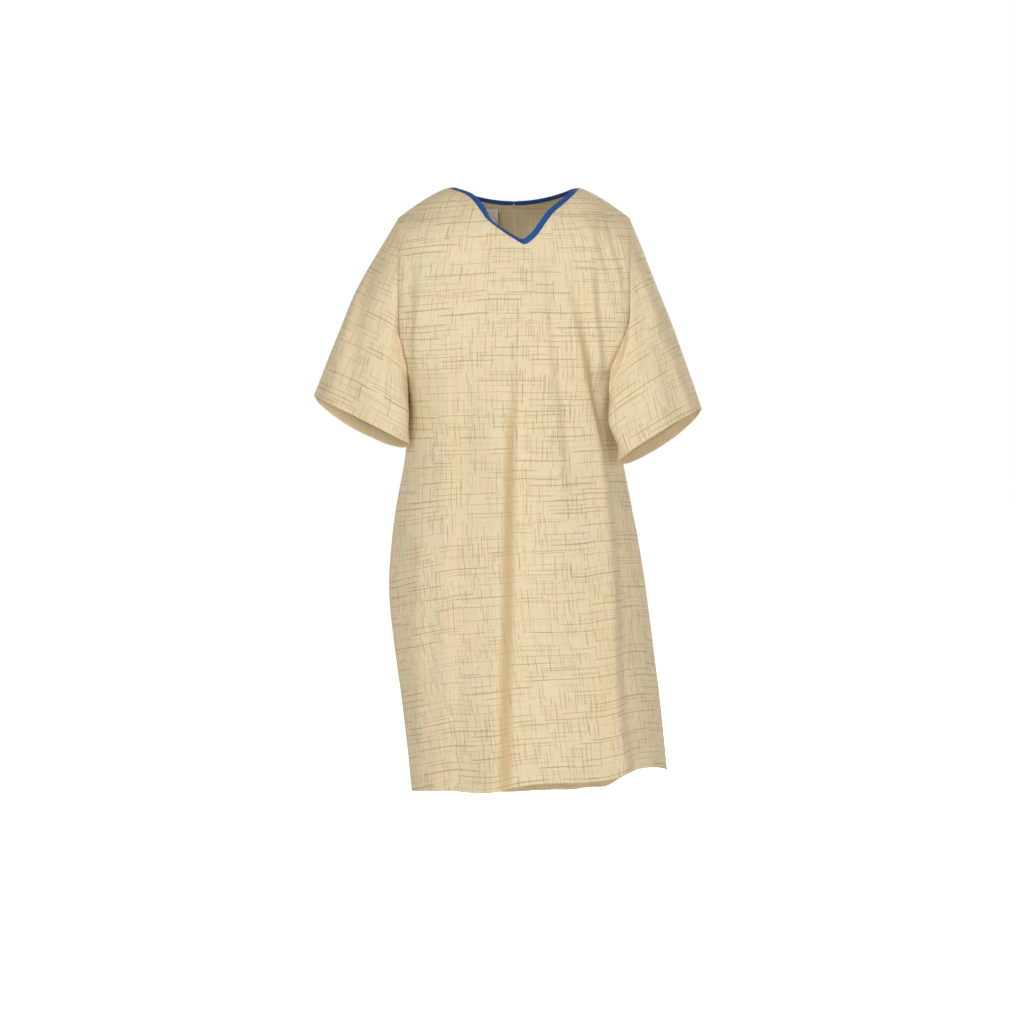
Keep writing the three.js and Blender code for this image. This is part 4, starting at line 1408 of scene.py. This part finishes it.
def printed_cloth(name, cream, ink_strength):
    """Cream poly-cotton with the crosshatch over it, at ink_strength of the right side's ink. The
    slubs of the yarn darken it a little, and the steep sides of folds are painted a darker warm tan
    as painted shade."""
    paint = Recipe(name)
    uv, u, v = cloth_place(paint)
    colour = paint.mix(patches(paint, uv, 16.0, 0.45, 0.70, 3.1) * 0.5, cream, CREAM_WARM)
    colour = paint.mix(patches(paint, uv, 13.0, 0.50, 0.72, 8.7) * 0.5, colour, CREAM_GREEN)
    crowd = patches(paint, uv, 19.0, 0.32, 0.46, 5.3)
    for seed, (way, pitch, length, width, chance, strength) in enumerate(STROKE_FAMILIES):
        across, along = (v, u) if way == "level" else (u, v)
        share = crowd * chance if seed == CROWDED else chance
        cover, ink = strokes(paint, across, along, pitch, length, width, share, seed + 1.0)
        ramp = paint.node("ShaderNodeValToRGB", {"stops": INKS}, {0: ink})
        colour = paint.mix(cover * (strength * ink_strength), colour, ramp)
    slub = clouds(paint, uv, SLUB_SCALE, 2.0)
    colour = paint.mix((slub - 0.35) * 0.35, colour, SLUB_TAN)
    # Painted shade: the steep sides of folds, where the cloth turned most, are mixed towards a
    # darker tan.
    turned = paint.node("ShaderNodeAttribute", {"attribute_name": "turned"}, None, 2)
    colour = paint.mix((turned * FOLD_SHADE_GAIN).math("MINIMUM", FOLD_SHADE_MOST), colour, FOLD_SHADE_TAN)
    weave = clouds(paint, uv, WEAVE_SCALE, 1.0)
    crease = clouds(paint, uv, CREASE_SCALE, 2.0)
    relief = weave * 0.00012 + crease * 0.0022 + slub * 0.00015
    bump = paint.node("ShaderNodeBump", None, {"Height": relief, "Strength": 0.7, "Distance": 1.0})
    rough = 0.80 + slub * 0.12
    return paint.finish(Base_Color=colour, Roughness=rough, Normal=bump, Sheen_Weight=0.12,
                        Sheen_Roughness=0.5, Specular_IOR_Level=0.25)


right_side = printed_cloth("printed_cloth", CREAM, 1.0)
# The wrong side is also painted lighter, as painted light coming through the cloth.
wrong_side = printed_cloth("printed_cloth_wrong_side", CREAM_INSIDE_PAINTED_LIGHT, 0.35)
print("printed cloth:", len(right_side.node_tree.nodes), "nodes")

# %% [markdown]
# ## Tapes, thread and label
# Bias tape is plain woven cotton, dyed right through, with a fine diagonal grain. The ties at the
# waist are cream twill tape, whose diagonal ribs show close to. The label is smooth white satin.

# %% Tape, thread and label finishes
def tape(name, colour, dark, ribs, rough):
    """Woven tape: diagonal ribs, ribs to the metre, in a colour and its shade."""
    paint = Recipe(name)
    uv = paint.node("ShaderNodeUVMap", {"uv_map": "cloth"})
    u, v, _ = paint.parts(uv)
    rib = ((u + v) * (2 * math.pi * ribs)).math("SINE") * 0.5 + 0.5
    worn = clouds(paint, uv, 140.0, 3.0)
    colour = paint.mix((rib * 0.35 + worn * 0.5).clamped(), dark, colour)
    bump = paint.node("ShaderNodeBump", None, {
        "Height": rib * 0.00012 + worn * 0.0004, "Strength": 0.8, "Distance": 1.0})
    return paint.finish(Base_Color=colour, Roughness=rough + worn * 0.1, Normal=bump,
                        Sheen_Weight=0.1, Specular_IOR_Level=0.3)


def spun_thread(name, colour, dark):
    """Sewing thread: a short twist of two tones."""
    paint = Recipe(name)
    place = paint.node("ShaderNodeTexCoord", None, None, 3)
    twist = paint.node("ShaderNodeTexNoise", None, {"Vector": place, "Scale": 900.0, "Detail": 1.0})
    return paint.finish(Base_Color=paint.mix(twist, dark, colour), Roughness=0.55)


blue_tape = tape("blue_bias_tape", (0.012, 0.130, 0.480, 1), (0.006, 0.062, 0.270, 1), 900, 0.62)
cream_tape = tape("cream_twill_tape", (0.900, 0.860, 0.740, 1), (0.760, 0.690, 0.530, 1), 700, 0.75)
label_satin = tape("white_satin", (0.880, 0.870, 0.840, 1), (0.780, 0.770, 0.740, 1), 1500, 0.42)
cream_thread = spun_thread("cream_thread", (0.80, 0.70, 0.47, 1), (0.58, 0.47, 0.26, 1))
blue_thread = spun_thread("blue_thread", (0.020, 0.170, 0.560, 1), (0.008, 0.070, 0.300, 1))
print("five trims finished")

# %% Finishes onto pieces
def finish_with(piece, slot, *materials):
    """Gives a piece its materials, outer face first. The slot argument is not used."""
    for material in materials:
        piece.data.materials.append(material)


for piece in cloth.values():
    finish_with(piece, "printed_cloth", right_side, wrong_side)
for strips in trims.values():
    for piece in strips:
        finish_with(piece, "turned_cloth", wrong_side, wrong_side)
for key, rows in threads.items():
    for piece in rows:
        is_blue = key == "binding"
        finish_with(piece, "blue_binding" if is_blue else "printed_cloth",
                    blue_thread if is_blue else cream_thread)
for piece in (binding, knot, *bow.values()):
    finish_with(piece, "blue_binding", blue_tape)
for piece in (*ties.values(), *tacks.values()):
    finish_with(piece, "tie_tape", cream_tape)
finish_with(label, "care_label", label_satin, label_satin)
print("every piece has its finish")

# %% [markdown]
# ## What each piece moves with
# The body of the gown stays still. The front, its trims, the binding, the bow and the label go with
# it, each waist tie goes with its own body and each tack with its flap. The backs and the sleeves,
# with their trims and stitches, only have their transforms baked in.

# %% Bodies
# The two (x, z) places of a back's swing line, at the neck and at the hem.
BACK_BEND_TOP = (0.013, -0.025)
BACK_BEND_HEM = (0.204, -1.140)


def bend_at_armhole(piece, side, body):
    """Works out the foot of the armhole, where a bend would start, and bakes the piece's transform
    into its mesh; no bend is made.
    """
    start = np.array((side * half_width(UNDERARM_Z), 0, UNDERARM_Z))
    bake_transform(piece)


def bend_at_opening(piece, side, body):
    """Works out the swing line, which slants from the neck to the hem, and bakes the piece's
    transform into its mesh; no bend is made.
    """
    shift = back_centre(BACK_HEM_Z) * (1 - side)
    top = np.array((side * BACK_BEND_TOP[0], 0, BACK_BEND_TOP[1]))
    foot = np.array((side * BACK_BEND_HEM[0] + shift, 0, BACK_BEND_HEM[1]))
    line = unit(foot - top)
    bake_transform(piece)


for piece in (cloth["front"], *trims["front"], *threads["front"], *threads["binding"],
              binding, knot, label, *bow.values()):
    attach(piece, "gown_body")
for name, side in SIDES.items():
    for piece in (cloth[name + "_back"], *trims[name + "_back"], *threads[name + "_back"]):
        bend_at_opening(piece, side, name + "_flap_body")
    for piece in (cloth[name + "_sleeve"], *trims[name + "_sleeve"], *threads[name + "_sleeve"]):
        bend_at_armhole(piece, side, name + "_sleeve_body")
    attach(ties[name], name + "_tie_body")
    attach(tacks[name], name + "_flap_body")
print("bodies given")

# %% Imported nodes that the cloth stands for
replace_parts(cloth["front"], "front_panel")
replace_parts(trims["front"][0], "front_hem")
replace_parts(binding, "neck_binding")
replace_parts(knot, "neck_tie_knot")
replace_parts(label, "care_label")
for number, name in enumerate(SIDES):
    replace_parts(trims["front"][1 + 2 * number], name + "_side_seam")
    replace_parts(trims["front"][2 + 2 * number], name + "_shoulder_seam")
    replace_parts(cloth[name + "_back"], name + "_back_panel", name + "_back_flap")
    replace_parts(trims[name + "_back"][0], name + "_back_hem", name + "_flap_hem")
    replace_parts(trims[name + "_back"][1], name + "_back_edge_hem")
    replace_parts(cloth[name + "_sleeve"], name + "_sleeve")
    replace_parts(trims[name + "_sleeve"][0], name + "_sleeve_hem")
    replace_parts(trims[name + "_sleeve"][1], name + "_armhole_seam")
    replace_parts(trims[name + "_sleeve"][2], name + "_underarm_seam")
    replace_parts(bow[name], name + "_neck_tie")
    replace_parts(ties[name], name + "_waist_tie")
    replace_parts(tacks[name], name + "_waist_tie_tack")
print("packed nodes replaced")

# %% [markdown]
# ## Flat sizes
# Cloth keeps the size it was cut to. The area, widest row and longest column of each panel, and
# the area of each sleeve, are printed.

# %% Areas
def flat_area(points, ring=False):
    """The grid's area: half the cross product of each face's diagonals, added up."""
    points = closed_round(points) if ring else points
    first = points[1:, 1:] - points[:-1, :-1]
    second = points[1:, :-1] - points[:-1, 1:]
    return float(np.linalg.norm(np.cross(first, second), axis=2).sum() / 2)


for name, points in [("front", front_points), *backs.items()]:
    widest, longest = steps_along(points, 1)[:, -1].max(), steps_along(points, 0)[-1].max()
    print(f"{name}: {flat_area(points):.3f} m2, widest {widest:.3f} m, longest {longest:.3f} m")
for name, points in sleeves.items():
    print(f"{name} sleeve: {flat_area(points, True):.3f} m2")

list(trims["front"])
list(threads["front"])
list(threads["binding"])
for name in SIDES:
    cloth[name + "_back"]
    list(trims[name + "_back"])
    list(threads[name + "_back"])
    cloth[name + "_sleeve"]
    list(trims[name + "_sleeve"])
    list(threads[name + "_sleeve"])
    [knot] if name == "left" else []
